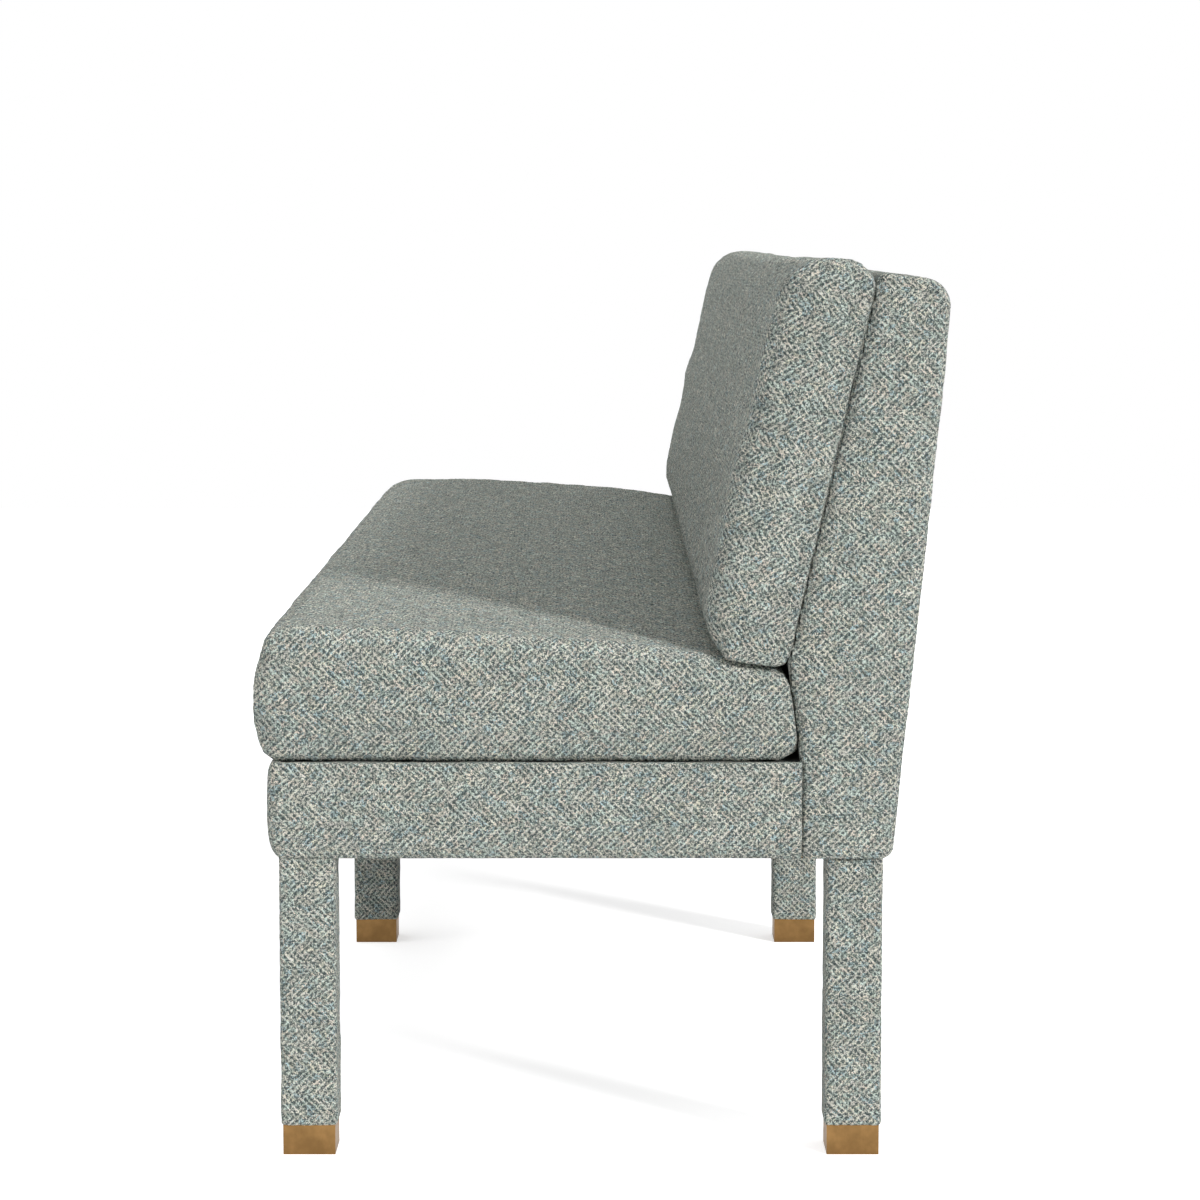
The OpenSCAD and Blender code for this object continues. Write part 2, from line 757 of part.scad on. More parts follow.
// Back cushion
back_cushion_top = back_height + back_cushion_rise;
function seat_top_at(y) =
    let(a = SEAT_POINTS[3], b = SEAT_POINTS[2], t = (y - a[0]) / (b[0] - a[0]))
    a[1] + (b[1] - a[1]) * t + seat_crown * bulge_shape(t);
function y_cushion_rear(z) = y_front(z) - soft_gap / cos(front_rake);
front_foot_y = y_front(seat_rear_z) - back_cushion_thick;
rear_foot_y = y_cushion_rear(seat_rear_z);
top_rear_edge_z = back_cushion_top - back_cushion_fall;
BACK_CUSHION_POINTS = [
    [front_foot_y, seat_top_at(front_foot_y) + soft_gap],
    [rear_foot_y, seat_top_at(rear_foot_y) + soft_gap],
    [y_cushion_rear(top_rear_edge_z), top_rear_edge_z],
    [y_front(back_cushion_top) - back_cushion_thick, back_cushion_top]
];
BACK_CUSHION_RADII = [
    back_cushion_bottom_r, back_cushion_heel_r, back_cushion_rear_r, back_cushion_front_r
];
BACK_CUSHION_MIDS = [2, 4, 2, 9];
BACK_STATIONS = [-0.72, -0.36, 0, 0.36, 0.72];
back_cushion_length = length - 2 * back_cushion_inset;
function back_section(x, inset, drawn) =
    let(
        share = 2 * x / back_cushion_length,
        full = fullness(share),
        soft = 1 - drawn / back_end_draw
    )
    [
        for (p = cushion_section(
            BACK_CUSHION_POINTS, BACK_CUSHION_RADII, inset + drawn, BACK_CUSHION_MIDS,
            [0, 0, -back_cushion_dip * full, back_cushion_bulge] * soft, back_cushion_pinch * soft))
            [x, p[0], p[1]]
    ];
function back_rings(inset) = [
    for (s = END_INSETS) let(d = s * back_end_draw)
        back_section(-back_cushion_length / 2 + inset + end_setback(d, back_end_draw, back_end_r), inset, d),
    for (s = BACK_STATIONS) back_section(s * back_cushion_length / 2, inset, 0),
    for (k = [len(END_INSETS) - 1:-1:0]) let(d = END_INSETS[k] * back_end_draw)
        back_section(back_cushion_length / 2 - inset - end_setback(d, back_end_draw, back_end_r), inset, d)
];
module back_zip_zone() {
    z = seat_rear_z + zip_rise;
    zip_zone(y_front(z), z);
}
module back_shell() {
    difference() {
        loft(back_rings(0));
        loft(back_rings(cover));
    }
}
module back_cushion_cover() {
    color("#8d9a92") difference() {
        back_shell();
        back_zip_zone();
    }
}
module back_cushion_core() {
    color("khaki") loft(back_rings(cover));
}
module back_cushion_zip() {
    color("#6d7a72") intersection() {
        back_shell();
        back_zip_zone();
    }
}

front_leg(-leg_x);  // front_left_leg
front_leg(0);  // front_middle_leg
front_leg(leg_x);  // front_right_leg
rear_post(-leg_x);  // rear_left_post
rear_post(0);  // rear_middle_post
rear_post(leg_x);  // rear_right_post
sleeve(-leg_x, front_leg_y);  // front_left_sleeve
sleeve(0, front_leg_y);  // front_middle_sleeve
sleeve(leg_x, front_leg_y);  // front_right_sleeve
sleeve(-leg_x, rear_leg_y);  // rear_left_sleeve
sleeve(0, rear_leg_y);  // rear_middle_sleeve
sleeve(leg_x, rear_leg_y);  // rear_right_sleeve
cap(-leg_x, front_leg_y);  // front_left_cap
cap(0, front_leg_y);  // front_middle_cap
cap(leg_x, front_leg_y);  // front_right_cap
cap(-leg_x, rear_leg_y);  // rear_left_cap
cap(0, rear_leg_y);  // rear_middle_cap
cap(leg_x, rear_leg_y);  // rear_right_cap
cap_screws();
long_rail(-1, frame_front);  // front_left_rail
long_rail(1, frame_front);  // front_right_rail
long_rail(-1, frame_rear - rail_thick);  // rear_left_rail
long_rail(1, frame_rear - rail_thick);  // rear_right_rail
end_rail(-1);  // left_end_rail
end_rail(1);  // right_end_rail
middle_cross_rail();
quarter_cross_rails();
corner_blocks();
block_bolts();
quarter_back_posts();
back_top_rails();
back_lower_rails();
back_webbing();
seat_webbing();
long_seat_webbing();
deck_pad();
deck_cloth();
dust_cover();
front_apron_padding();
mirror([1, 0, 0]) right_apron_padding();  // left_apron_padding
right_apron_padding();
front_apron_cover();
mirror([1, 0, 0]) right_apron_cover();  // left_apron_cover
right_apron_cover();
mirror([1, 0, 0]) right_back_padding();  // left_back_padding
right_back_padding();
mirror([1, 0, 0]) right_back_cover();  // left_back_cover
right_back_cover();
inside_back_foam();
top_back_foam();
inside_back_cover();
outside_back_board();
outside_back_wadding();
outside_back_cover();
seat_cushion_cover();
seat_cushion_core();
seat_cushion_zip();
back_cushion_cover();
back_cushion_core();
back_cushion_zip();
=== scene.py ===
import json
import math

import bmesh
import bpy
import numpy as np
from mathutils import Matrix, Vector


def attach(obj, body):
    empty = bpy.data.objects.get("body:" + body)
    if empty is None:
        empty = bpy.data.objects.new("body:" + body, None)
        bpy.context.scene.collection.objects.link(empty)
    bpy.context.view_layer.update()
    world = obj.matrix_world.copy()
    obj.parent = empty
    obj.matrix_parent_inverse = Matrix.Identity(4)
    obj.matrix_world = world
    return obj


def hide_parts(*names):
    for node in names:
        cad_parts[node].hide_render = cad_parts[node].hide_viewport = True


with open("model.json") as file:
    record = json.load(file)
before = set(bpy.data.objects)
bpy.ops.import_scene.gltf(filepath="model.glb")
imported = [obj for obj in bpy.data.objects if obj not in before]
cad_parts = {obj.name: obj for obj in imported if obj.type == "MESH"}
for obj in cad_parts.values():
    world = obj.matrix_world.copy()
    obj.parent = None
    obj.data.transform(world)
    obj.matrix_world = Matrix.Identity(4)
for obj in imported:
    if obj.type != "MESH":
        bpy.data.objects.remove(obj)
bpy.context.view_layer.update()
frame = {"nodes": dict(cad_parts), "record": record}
nodes = frame["nodes"]
scene = bpy.context.scene
MM = 0.001


# Camera

CAMERA_PLACE = (4.3845, 0.0, 0.9163)
CAMERA_PITCH = math.radians(6.131)
CAMERA_LENS = 102.08
CAMERA_SENSOR = 36.0
CAMERA_REACH = 60


def add_camera():
    data = bpy.data.cameras.new("camera")
    data.lens = CAMERA_LENS
    data.sensor_width = CAMERA_SENSOR
    data.clip_end = CAMERA_REACH
    camera = bpy.data.objects.new("camera", data)
    camera.location = CAMERA_PLACE
    camera.rotation_euler = (math.radians(90) - CAMERA_PITCH, 0, math.radians(90))
    scene.collection.objects.link(camera)
    scene.camera = camera


add_camera()


# Light, floor and background

KEY_AZIMUTH = math.radians(44.5)
KEY_ELEVATION = math.radians(25.3)
KEY_STRENGTH = 2.54
KEY_ANGLE = math.radians(8.5)
LOW_AZIMUTH = math.radians(-70)
LOW_ELEVATION = math.radians(10)
LOW_STRENGTH = 0.65
LOW_ANGLE = math.radians(40)
SKY_LOW = 0.4
SKY_HIGH = 1.0
FLOOR_SIZE = 14
FLOOR_ALBEDO = 0.88
FLOOR_ROUGHNESS = 0.9
FLOOR_GLOW = 0.65
FLOOR_FILL = 0.15
WHITE = (1, 1, 1, 1)


def add_light(name, azimuth, elevation, strength, angle):
    """A distant lamp. The azimuth runs from +X towards +Y."""
    data = bpy.data.lights.new(name, "SUN")
    data.energy = strength
    data.angle = angle
    lamp = bpy.data.objects.new(name, data)
    towards = Vector((
        math.cos(elevation) * math.cos(azimuth),
        math.cos(elevation) * math.sin(azimuth),
        math.sin(elevation),
    ))
    lamp.rotation_euler = towards.to_track_quat("Z", "Y").to_euler()
    scene.collection.objects.link(lamp)


def seen_directly(tree):
    """1 for camera, glossy and transmission rays, and 0 for the rays that light the piece."""
    path = tree.nodes.new("ShaderNodeLightPath")
    total = path.outputs["Is Camera Ray"]
    for name in ("Is Glossy Ray", "Is Transmission Ray"):
        add = tree.nodes.new("ShaderNodeMath")
        add.operation = "MAXIMUM"
        tree.links.new(total, add.inputs[0])
        tree.links.new(path.outputs[name], add.inputs[1])
        total = add.outputs[0]
    return total


def set_world():
    """White where it is seen. The light it gives grows from the horizon to the zenith."""
    world = bpy.data.worlds.new("world")
    world.use_nodes = True
    scene.world = world
    tree = world.node_tree
    background = tree.nodes["Background"]
    background.inputs["Color"].default_value = WHITE
    height = tree.nodes.new("ShaderNodeSeparateXYZ")
    tree.links.new(tree.nodes.new("ShaderNodeTexCoord").outputs["Generated"], height.inputs[0])
    sky = tree.nodes.new("ShaderNodeMapRange")
    sky.interpolation_type = "SMOOTHSTEP"
    sky.inputs["To Min"].default_value = SKY_LOW
    sky.inputs["To Max"].default_value = SKY_HIGH
    tree.links.new(height.outputs[2], sky.inputs["Value"])
    strength = tree.nodes.new("ShaderNodeMapRange")
    strength.inputs["To Max"].default_value = 1
    tree.links.new(seen_directly(tree), strength.inputs["Value"])
    tree.links.new(sky.outputs[0], strength.inputs["To Min"])
    tree.links.new(strength.outputs[0], background.inputs["Strength"])


def add_floor():
    """A pale floor that is seen as white and keeps the shadow."""
    bpy.ops.mesh.primitive_plane_add(size=FLOOR_SIZE)
    floor = bpy.context.object
    floor.name = "floor"
    material = bpy.data.materials.new("floor")
    material.use_nodes = True
    tree = material.node_tree
    shader = tree.nodes["Principled BSDF"]
    shader.inputs["Base Color"].default_value = (FLOOR_ALBEDO,) * 3 + (1,)
    shader.inputs["Roughness"].default_value = FLOOR_ROUGHNESS
    shader.inputs["Specular IOR Level"].default_value = 0
    glow = tree.nodes.new("ShaderNodeMapRange")
    glow.inputs["To Min"].default_value = FLOOR_FILL
    glow.inputs["To Max"].default_value = FLOOR_GLOW
    tree.links.new(seen_directly(tree), glow.inputs["Value"])
    shader.inputs["Emission Color"].default_value = WHITE
    tree.links.new(glow.outputs[0], shader.inputs["Emission Strength"])
    floor.data.materials.append(material)


scene.view_settings.view_transform = "Standard"
add_light("key", KEY_AZIMUTH, KEY_ELEVATION, KEY_STRENGTH, KEY_ANGLE)
add_light("low", LOW_AZIMUTH, LOW_ELEVATION, LOW_STRENGTH, LOW_ANGLE)
set_world()
add_floor()


# Shader helpers

# Painted top light: faces that look up are painted lighter. A face counts as level from this upward
# share of its normal, and fully so a further one over the rate above it.
PAINTED_TOP_START = 0.6
PAINTED_TOP_RATE = 5
SHEEN_ROUGHNESS = 0.5
SHEEN_SPECULAR = 0.15


class Graph:
    """Short names for building a material's nodes."""

    def __init__(self, name):
        self.material = bpy.data.materials.new(name)
        self.material.use_nodes = True
        self.tree = self.material.node_tree
        self.shader = self.tree.nodes["Principled BSDF"]

    def link(self, value, socket):
        if isinstance(value, bpy.types.NodeSocket):
            self.tree.links.new(value, socket)
        else:
            socket.default_value = value

    def calc(self, operation, *values):
        node = self.tree.nodes.new("ShaderNodeMath")
        node.operation = operation
        for socket, value in zip(node.inputs, values):
            self.link(value, socket)
        return node.outputs[0]

    def add(self, a, b):
        return self.calc("ADD", a, b)

    def subtract(self, a, b):
        return self.calc("SUBTRACT", a, b)

    def multiply(self, a, b):
        return self.calc("MULTIPLY", a, b)

    def divide(self, a, b):
        return self.calc("DIVIDE", a, b)

    def between(self, factor, low, high):
        return self.add(self.multiply(factor, high - low), low)

    def position(self):
        return self.tree.nodes.new("ShaderNodeTexCoord").outputs["Object"]

    def split(self, vector):
        node = self.tree.nodes.new("ShaderNodeSeparateXYZ")
        self.link(vector, node.inputs[0])
        return node.outputs[0], node.outputs[1], node.outputs[2]

    def join(self, x, y, z=0.0):
        node = self.tree.nodes.new("ShaderNodeCombineXYZ")
        for socket, value in zip(node.inputs, (x, y, z)):
            self.link(value, socket)
        return node.outputs[0]

    def cloth_plane(self, rake, shift):
        """Coordinates (u, v) of flat cloth on each face, by the main direction of its normal.

        The third output is 1 on faces that look up or down, and 0 on steep ones: it is the mask of
        the painted top light.
        """
        source = self.tree.nodes.new("ShaderNodeTexCoord")
        turned = []
        for output, move in (("Object", shift), ("Normal", (0, 0, 0))):
            node = self.tree.nodes.new("ShaderNodeMapping")
            node.inputs["Location"].default_value = move
            node.inputs["Rotation"].default_value = (rake, 0, 0)
            self.link(source.outputs[output], node.inputs["Vector"])
            turned.append(self.split(node.outputs[0]))
        (x, y, z), normal = turned
        nx, ny, nz = [self.calc("ABSOLUTE", part) for part in normal]
        at_end = self.calc("GREATER_THAN", nx, self.calc("MAXIMUM", ny, nz))
        on_top = self.calc("GREATER_THAN", nz, self.calc("MAXIMUM", nx, ny))
        u = self.add(x, self.multiply(at_end, self.subtract(y, x)))
        v = self.add(z, self.multiply(on_top, self.subtract(y, z)))
        level = self.multiply(self.subtract(nz, PAINTED_TOP_START), PAINTED_TOP_RATE)
        level = self.calc("MINIMUM", self.calc("MAXIMUM", level, 0), 1)
        return u, v, level

    def scaled(self, vector, scale):
        node = self.tree.nodes.new("ShaderNodeMapping")
        self.link(vector, node.inputs["Vector"])
        node.inputs["Scale"].default_value = scale
        return node.outputs[0]

    def noise(self, vector, scale, detail=2.0, roughness=0.5):
        node = self.tree.nodes.new("ShaderNodeTexNoise")
        self.link(vector, node.inputs["Vector"])
        node.inputs["Scale"].default_value = scale
        node.inputs["Detail"].default_value = detail
        node.inputs["Roughness"].default_value = roughness
        return node.outputs["Fac"]

    def centred_noise(self, vector, scale, detail=2.0, roughness=0.5):
        return self.subtract(self.noise(vector, scale, detail, roughness), 0.5)

    def cells(self, vector):
        """Distance from the middle of the cell, and the cell's own three random numbers."""
        node = self.tree.nodes.new("ShaderNodeTexVoronoi")
        node.voronoi_dimensions = "2D"
        node.inputs["Scale"].default_value = 1
        self.link(vector, node.inputs["Vector"])
        return node.outputs["Distance"], node.outputs["Color"]

    def ridges(self, place, pitch, sharpness):
        """Ridges one pitch apart, from 0 in the grooves to 1 on their tops."""
        wave = self.calc("COSINE", self.multiply(place, 2 * math.pi / pitch))
        raised = self.add(self.multiply(wave, 0.5), 0.5)
        return self.calc("POWER", raised, sharpness)

    def ramp(self, factor, stops, smooth=True):
        """Colour by the factor. The stops are (factor, colour)."""
        node = self.tree.nodes.new("ShaderNodeValToRGB")
        node.color_ramp.interpolation = "EASE" if smooth else "CONSTANT"
        elements = node.color_ramp.elements
        while len(elements) < len(stops):
            elements.new(0.5)
        for element, (place, colour) in zip(elements, stops):
            element.position = place
            element.color = (*colour, 1)
        self.link(factor, node.inputs[0])
        return node.outputs[0]

    def tinted(self, colour, tint):
        node = self.tree.nodes.new("ShaderNodeMix")
        node.data_type = "RGBA"
        node.blend_type = "MULTIPLY"
        node.inputs["Factor"].default_value = 1
        self.link(colour, node.inputs[6])
        self.link(tint, node.inputs[7])
        return node.outputs[2]

    def bump(self, height, distance):
        node = self.tree.nodes.new("ShaderNodeBump")
        self.link(height, node.inputs["Height"])
        node.inputs["Distance"].default_value = distance
        node.inputs["Strength"].default_value = 1
        self.tree.links.new(node.outputs[0], self.shader.inputs["Normal"])

    def finish(self, colour, roughness, metallic=0.0, sheen=0.0):
        inputs = self.shader.inputs
        if isinstance(colour, tuple):
            colour = (*colour, 1)
        self.link(colour, inputs["Base Color"])
        self.link(roughness, inputs["Roughness"])
        inputs["Metallic"].default_value = metallic
        if sheen:
            inputs["Sheen Weight"].default_value = sheen
            inputs["Sheen Roughness"].default_value = SHEEN_ROUGHNESS
            inputs["Specular IOR Level"].default_value = SHEEN_SPECULAR
        return self.material


def srgb(r, g, b):
    """A colour from its 0 to 255 screen values."""
    def linear(c):
        c /= 255
        return c / 12.92 if c <= 0.04045 else ((c + 0.055) / 1.055) ** 2.4
    return tuple(linear(c) for c in (r, g, b))


# Cover fabric: a herringbone tweed of slubby cream and teal yarns

BAND = 24 * MM
HOLE_PITCH = 7.4 * MM
ROW_PITCH = 7.2 * MM
HOLE_SHARE = 1.9
HOLE_SHARPNESS = 2.0
RIB_SHARE = 0.95
RIB_SHARPNESS = 5
WEAVE_LIFT = 0.05
# How the yarns stray: (scale of the noise, reach).
WANDERS = ((70, 2.6 * MM), (263, 0.8 * MM))
WANDER_RATIO = 1.13
TUFT_WIDTH = 0.9 * MM
TUFT_LENGTH = 1.3 * MM
TUFT_SHARE = 3.3
TUFT_LIFT = 0.5
TUFT_IN_SLUB = 0.1
FIBRE_SCALE = 1200
FIBRE_SHARE = 4.0
SLUB_WIDTH = 7.0 * MM
SLUB_HEIGHT = 5.0 * MM
CONTRAST = 0.36
SLUB_LIGHT = (0.83, 1.17)
MOTTLE_SCALE = 22
MOTTLE_LIGHT = (0.88, 1.12)
# Painted light: faces that look up are painted up to this much lighter, standing in for more light
# falling on the top.
PAINTED_TOP_LIGHT = 1.13
WEAVE_BUMP = 1.0 * MM
FABRIC_ROUGHNESS = 0.95
FABRIC_SHEEN = 0.3
YARN_TONES = (
    (0.0, srgb(50, 68, 68)), (0.22, srgb(84, 100, 97)), (0.42, srgb(136, 146, 137)),
    (0.62, srgb(184, 187, 175)), (0.82, srgb(220, 219, 208)), (1.0, srgb(245, 244, 236)),
)
SLUB_TINTS = (
    (0.0, (1.0, 1.0, 0.98)), (0.2, (0.84, 0.96, 0.96)), (0.36, (1.04, 1.03, 0.98)),
    (0.5, (0.97, 1.0, 0.97)), (0.6, (0.66, 0.84, 0.93)), (0.68, (1.05, 0.99, 0.94)),
    (0.8, (0.86, 0.96, 0.94)), (0.9, (1.06, 1.04, 0.95)),
)


def tweed(name, rake=0.0, shift=(0.0, 0.0, 0.0)):
    """Cloth along the main direction of each face. The rake turns it about the length."""
    g = Graph(name)
    u, v, level = g.cloth_plane(rake, shift)
    flat = g.join(u, v)
    for scale, reach in WANDERS:
        u = g.add(u, g.multiply(g.centred_noise(flat, scale), reach))
        v = g.add(v, g.multiply(g.centred_noise(flat, WANDER_RATIO * scale), reach))

    # The slant turns from one band to the next.
    band = g.calc("FLOORED_MODULO", g.calc("FLOOR", g.divide(v, BAND)), 2)
    slanted = g.multiply(v, g.subtract(1, g.multiply(band, 2)))
    across = g.add(u, slanted)
    along = g.subtract(u, slanted)
    hole = g.multiply(
        g.ridges(across, HOLE_PITCH, HOLE_SHARPNESS),
        g.ridges(along, ROW_PITCH, HOLE_SHARPNESS),
    )
    rib = g.ridges(g.add(across, HOLE_PITCH / 2), HOLE_PITCH, RIB_SHARPNESS)
    rib = g.add(g.multiply(rib, RIB_SHARE), WEAVE_LIFT)
    weave = g.subtract(rib, g.multiply(hole, HOLE_SHARE))
    tuft_place = g.join(
        g.divide(across, math.sqrt(2) * TUFT_WIDTH),
        g.divide(along, math.sqrt(2) * TUFT_LENGTH),
    )
    from_middle, lots = g.cells(tuft_place)
    lot, other_lot, _ = g.split(lots)
    tuft = g.multiply(g.subtract(lot, 0.5), TUFT_SHARE)
    rounded = g.subtract(0.5, from_middle)
    fibre = g.centred_noise(flat, FIBRE_SCALE, detail=3, roughness=0.7)
    relief = g.add(g.add(weave, g.multiply(fibre, FIBRE_SHARE)), rounded)
    g.bump(g.add(relief, g.multiply(tuft, TUFT_LIFT)), WEAVE_BUMP)

    tone = g.multiply(g.add(relief, tuft), CONTRAST)
    colour = g.ramp(g.add(tone, 0.5), YARN_TONES)
    slub_place = g.join(g.divide(u, SLUB_WIDTH), g.divide(v, SLUB_HEIGHT))
    slub, slub_light, _ = g.split(g.cells(slub_place)[1])
    slub = g.add(g.multiply(slub, 1 - TUFT_IN_SLUB), g.multiply(other_lot, TUFT_IN_SLUB))
    colour = g.tinted(colour, g.ramp(slub, SLUB_TINTS, smooth=False))
    mottle = g.between(g.noise(flat, MOTTLE_SCALE, detail=3), *MOTTLE_LIGHT)
    light = g.multiply(mottle, g.between(slub_light, *SLUB_LIGHT))
    # Painted top light: level faces get a lighter tone, as if more light fell on them.
    light = g.multiply(light, g.between(level, 1, PAINTED_TOP_LIGHT))
    colour = g.tinted(colour, g.join(light, light, light))
    return g.finish(colour, FABRIC_ROUGHNESS, sheen=FABRIC_SHEEN)


# Brass of the caps: worn satin with fine brush marks, and darker towards the floor

DARKER_BELOW = 30 * MM
DARKER_RATE = 6


def brass():
    g = Graph("brass")
    place = g.position()
    stain = g.noise(place, scale=45, detail=4, roughness=0.6)
    brush = g.noise(g.scaled(place, (900, 900, 60)), scale=1)
    # Darker towards the floor: the tone falls steadily as the height drops.
    lower = g.multiply(g.subtract(DARKER_BELOW, g.split(place)[2]), DARKER_RATE)
    shade = g.subtract(stain, lower)
    colour = g.ramp(shade, ((0.2, srgb(118, 90, 55)), (0.75, srgb(146, 113, 71))))
    g.bump(brush, distance=0.04 * MM)
    return g.finish(colour, g.between(brush, 0.34, 0.52), metallic=1.0)


# Materials of the inner pieces

WOOD_TONES = (
    (0.35, srgb(176, 138, 94)), (0.6, srgb(208, 172, 124)), (0.85, srgb(222, 190, 144)),
)


def wood():
    g = Graph("hardwood")
    place = g.position()
    warp = g.noise(place, scale=6)
    rings = g.noise(g.scaled(place, (4, 60, 60)), scale=1, detail=3)
    grain = g.add(rings, g.multiply(warp, 0.3))
    g.bump(rings, distance=0.2 * MM)
    return g.finish(g.ramp(grain, WOOD_TONES), 0.6)


def steel():
    g = Graph("zinc_steel")
    brush = g.noise(g.position(), scale=400, detail=3)
    g.bump(brush, distance=0.03 * MM)
    return g.finish(srgb(196, 198, 200), g.between(brush, 0.25, 0.45), metallic=1.0)


def foam():
    g = Graph("foam")
    cells = g.noise(g.position(), scale=500, detail=4, roughness=0.7)
    colour = g.ramp(cells, ((0.3, srgb(196, 182, 132)), (0.6, srgb(232, 222, 180))))
    g.bump(cells, distance=0.6 * MM)
    return g.finish(colour, 0.95)


def felted(name, dark, light, scale=260):
    """Matted fibres, between two screen colours."""
    g = Graph(name)
    fibres = g.noise(g.position(), scale, detail=5, roughness=0.7)
    g.bump(fibres, distance=0.6 * MM)
    colour = g.ramp(fibres, ((0.3, srgb(*dark)), (0.7, srgb(*light))))
    return g.finish(colour, 1.0, sheen=0.15)


def woven(name, dark, light, pitch):
    """Plain weave: two crossed sets of threads, each pitch metres apart."""
    g = Graph(name)
    x, y, z = g.split(g.position())
    across = g.add(x, g.multiply(z, 0.31))
    along = g.add(y, z)
    turns = 2 * math.pi / pitch
    one, two = [g.calc("SINE", g.multiply(place, turns)) for place in (across, along)]
    height = g.multiply(g.add(one, two), 0.25)
    fuzz = g.centred_noise(g.position(), scale=600, detail=3)
    shade = g.add(g.add(height, 0.5), g.multiply(fuzz, 0.6))
    g.bump(height, distance=0.4 * pitch)
    colour = g.ramp(shade, ((0.1, srgb(*dark)), (0.9, srgb(*light))))
    return g.finish(colour, 0.9, sheen=0.1)


RAKE = math.radians(12.7)
TWEED_FRAME = tweed("tweed_frame")
TWEED_LEG = tweed("tweed_leg", shift=(0.013, 0.007, 0.009))
TWEED_SEAT = tweed("tweed_seat", shift=(0.031, 0.017, 0.005))
TWEED_BACK = tweed("tweed_back", rake=RAKE)
SLOT_MATERIALS = {
    "cover_fabric": TWEED_FRAME,
    "brass": brass(),
    "hardwood": wood(),
    "steel": steel(),
    "foam": foam(),
    "wadding": felted("wadding", (214, 214, 210), (246, 246, 244)),
    "felt": felted("felt", (96, 96, 94), (156, 154, 150)),
    "webbing": woven("webbing", (38, 36, 32), (112, 108, 98), 2.4 * MM),
    "deck_cloth": woven("deck_cloth", (66, 68, 64), (118, 120, 114), 1.2 * MM),
    "dust_cloth": woven("dust_cloth", (12, 12, 12), (38, 38, 38), 1.0 * MM),
    "board": felted("board", (118, 86, 54), (152, 116, 78), 120),
    "zip": woven("zip_tape", (78, 92, 88), (124, 136, 130), 1.5 * MM),
}


def paint_cad_nodes():
    for part in frame["record"]["subparts"]:
        mesh = nodes[part["node"]].data
        mesh.materials.clear()
        mesh.materials.append(SLOT_MATERIALS[part["material_slot"]])


paint_cad_nodes()


# Mesh helpers

MERGE_DISTANCE = 1e-6
GRAIN_WAVES = 12
GRAIN_SPREAD = (0.6, 1.5)
GRAIN_HEIGHT = 3.5


def fade(values, zero, one):
    """0 at and before the first limit, 1 at and beyond the second, and even between them."""
    return np.clip((values - zero) / (one - zero), 0, 1)


def axis_views(points):
    """Views of X, Y and Z: a change of a view changes the points, and the other way round."""
    return points.T


def mesh_object(name, points, faces):
    """A new object, its doubled points merged and its normals outward."""
    mesh = bpy.data.meshes.new(name)
    mesh.from_pydata([tuple(float(c) for c in point) for point in points], [], faces)
    tidy = bmesh.new()
    tidy.from_mesh(mesh)
    bmesh.ops.remove_doubles(tidy, verts=tidy.verts, dist=MERGE_DISTANCE)
    bmesh.ops.recalc_face_normals(tidy, faces=tidy.faces)
    tidy.to_mesh(mesh)
    tidy.free()
    obj = bpy.data.objects.new(name, mesh)
    scene.collection.objects.link(obj)
    return obj


def get_points(mesh):
    points = np.empty(len(mesh.vertices) * 3, np.float32)
    mesh.vertices.foreach_get("co", points)
    return points.reshape(-1, 3).astype(float)


def set_points(mesh, points):
    mesh.vertices.foreach_set("co", np.ascontiguousarray(points, np.float32).ravel())
    mesh.update()


def get_normals(mesh):
    normals = np.empty(len(mesh.vertices) * 3, np.float32)
    mesh.vertex_normals.foreach_get("vector", normals)
    return normals.reshape(-1, 3).astype(float)


def bake_modifiers(obj):
    """Keeps what the object's modifiers make as its own mesh."""
    depsgraph = bpy.context.evaluated_depsgraph_get()
    mesh = bpy.data.meshes.new_from_object(obj.evaluated_get(depsgraph))
    obj.modifiers.clear()
    obj.data = mesh


def remeshed(name, node, voxel):
    """A new object from a CAD node's solid, with even faces about one voxel wide."""
    obj = bpy.data.objects.new(name, nodes[node].data.copy())
    obj.data.materials.clear()
    scene.collection.objects.link(obj)
    remesh = obj.modifiers.new("even", "REMESH")
    remesh.mode = "VOXEL"
    remesh.voxel_size = voxel
    bake_modifiers(obj)
    return obj


def smooth_grain(points, size, seed):
    """A soft random field of about -1 to 1 whose bumps are size metres apart."""
    field = np.zeros(len(points))
    chance = np.random.default_rng(seed)
    for _ in range(GRAIN_WAVES):
        direction = chance.normal(size=3)
        direction /= np.linalg.norm(direction)
        turns = 2 * math.pi / size * chance.uniform(*GRAIN_SPREAD)
        field += np.sin(points @ direction * turns + chance.uniform(0, 2 * math.pi))
    return field / GRAIN_HEIGHT


def roughen(obj, waves, nub, seed):
    """Moves the surface along its normals: soft waves of (size, height), and nubs of the yarn."""
    points = get_points(obj.data)
    normals = get_normals(obj.data)
    height = nub * np.random.default_rng(seed).uniform(-1, 1, len(points))
    for number, (size, amount) in enumerate(waves):
        height += amount * smooth_grain(points, size, seed * 10 + number)
    set_points(obj.data, points + normals * height[:, None])


def hold_back(obj, *planes):
    """Brings each point beyond a plane back onto it. A plane is (outward normal, a point on it)."""
    points = get_points(obj.data)
    for normal, place in planes:
        normal = np.array(normal, float)
        normal /= np.linalg.norm(normal)
        beyond = np.maximum((points - np.array(place)) @ normal, 0)
        points -= beyond[:, None] * normal
    set_points(obj.data, points)


def dress(obj, material, slot, body, *replaced):
    """Gives a piece its material and body, and hides the CAD nodes it stands for. The slot is not
    used.
    """
    for polygon in obj.data.polygons:
        polygon.use_smooth = True
    obj.data.materials.clear()
    obj.data.materials.append(material)
    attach(obj, body)
    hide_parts(*replaced)


# Outlines: convex polygons with an arc of its own at each corner

ARC_STEPS = 8
ARC_POINTS = ARC_STEPS + 1


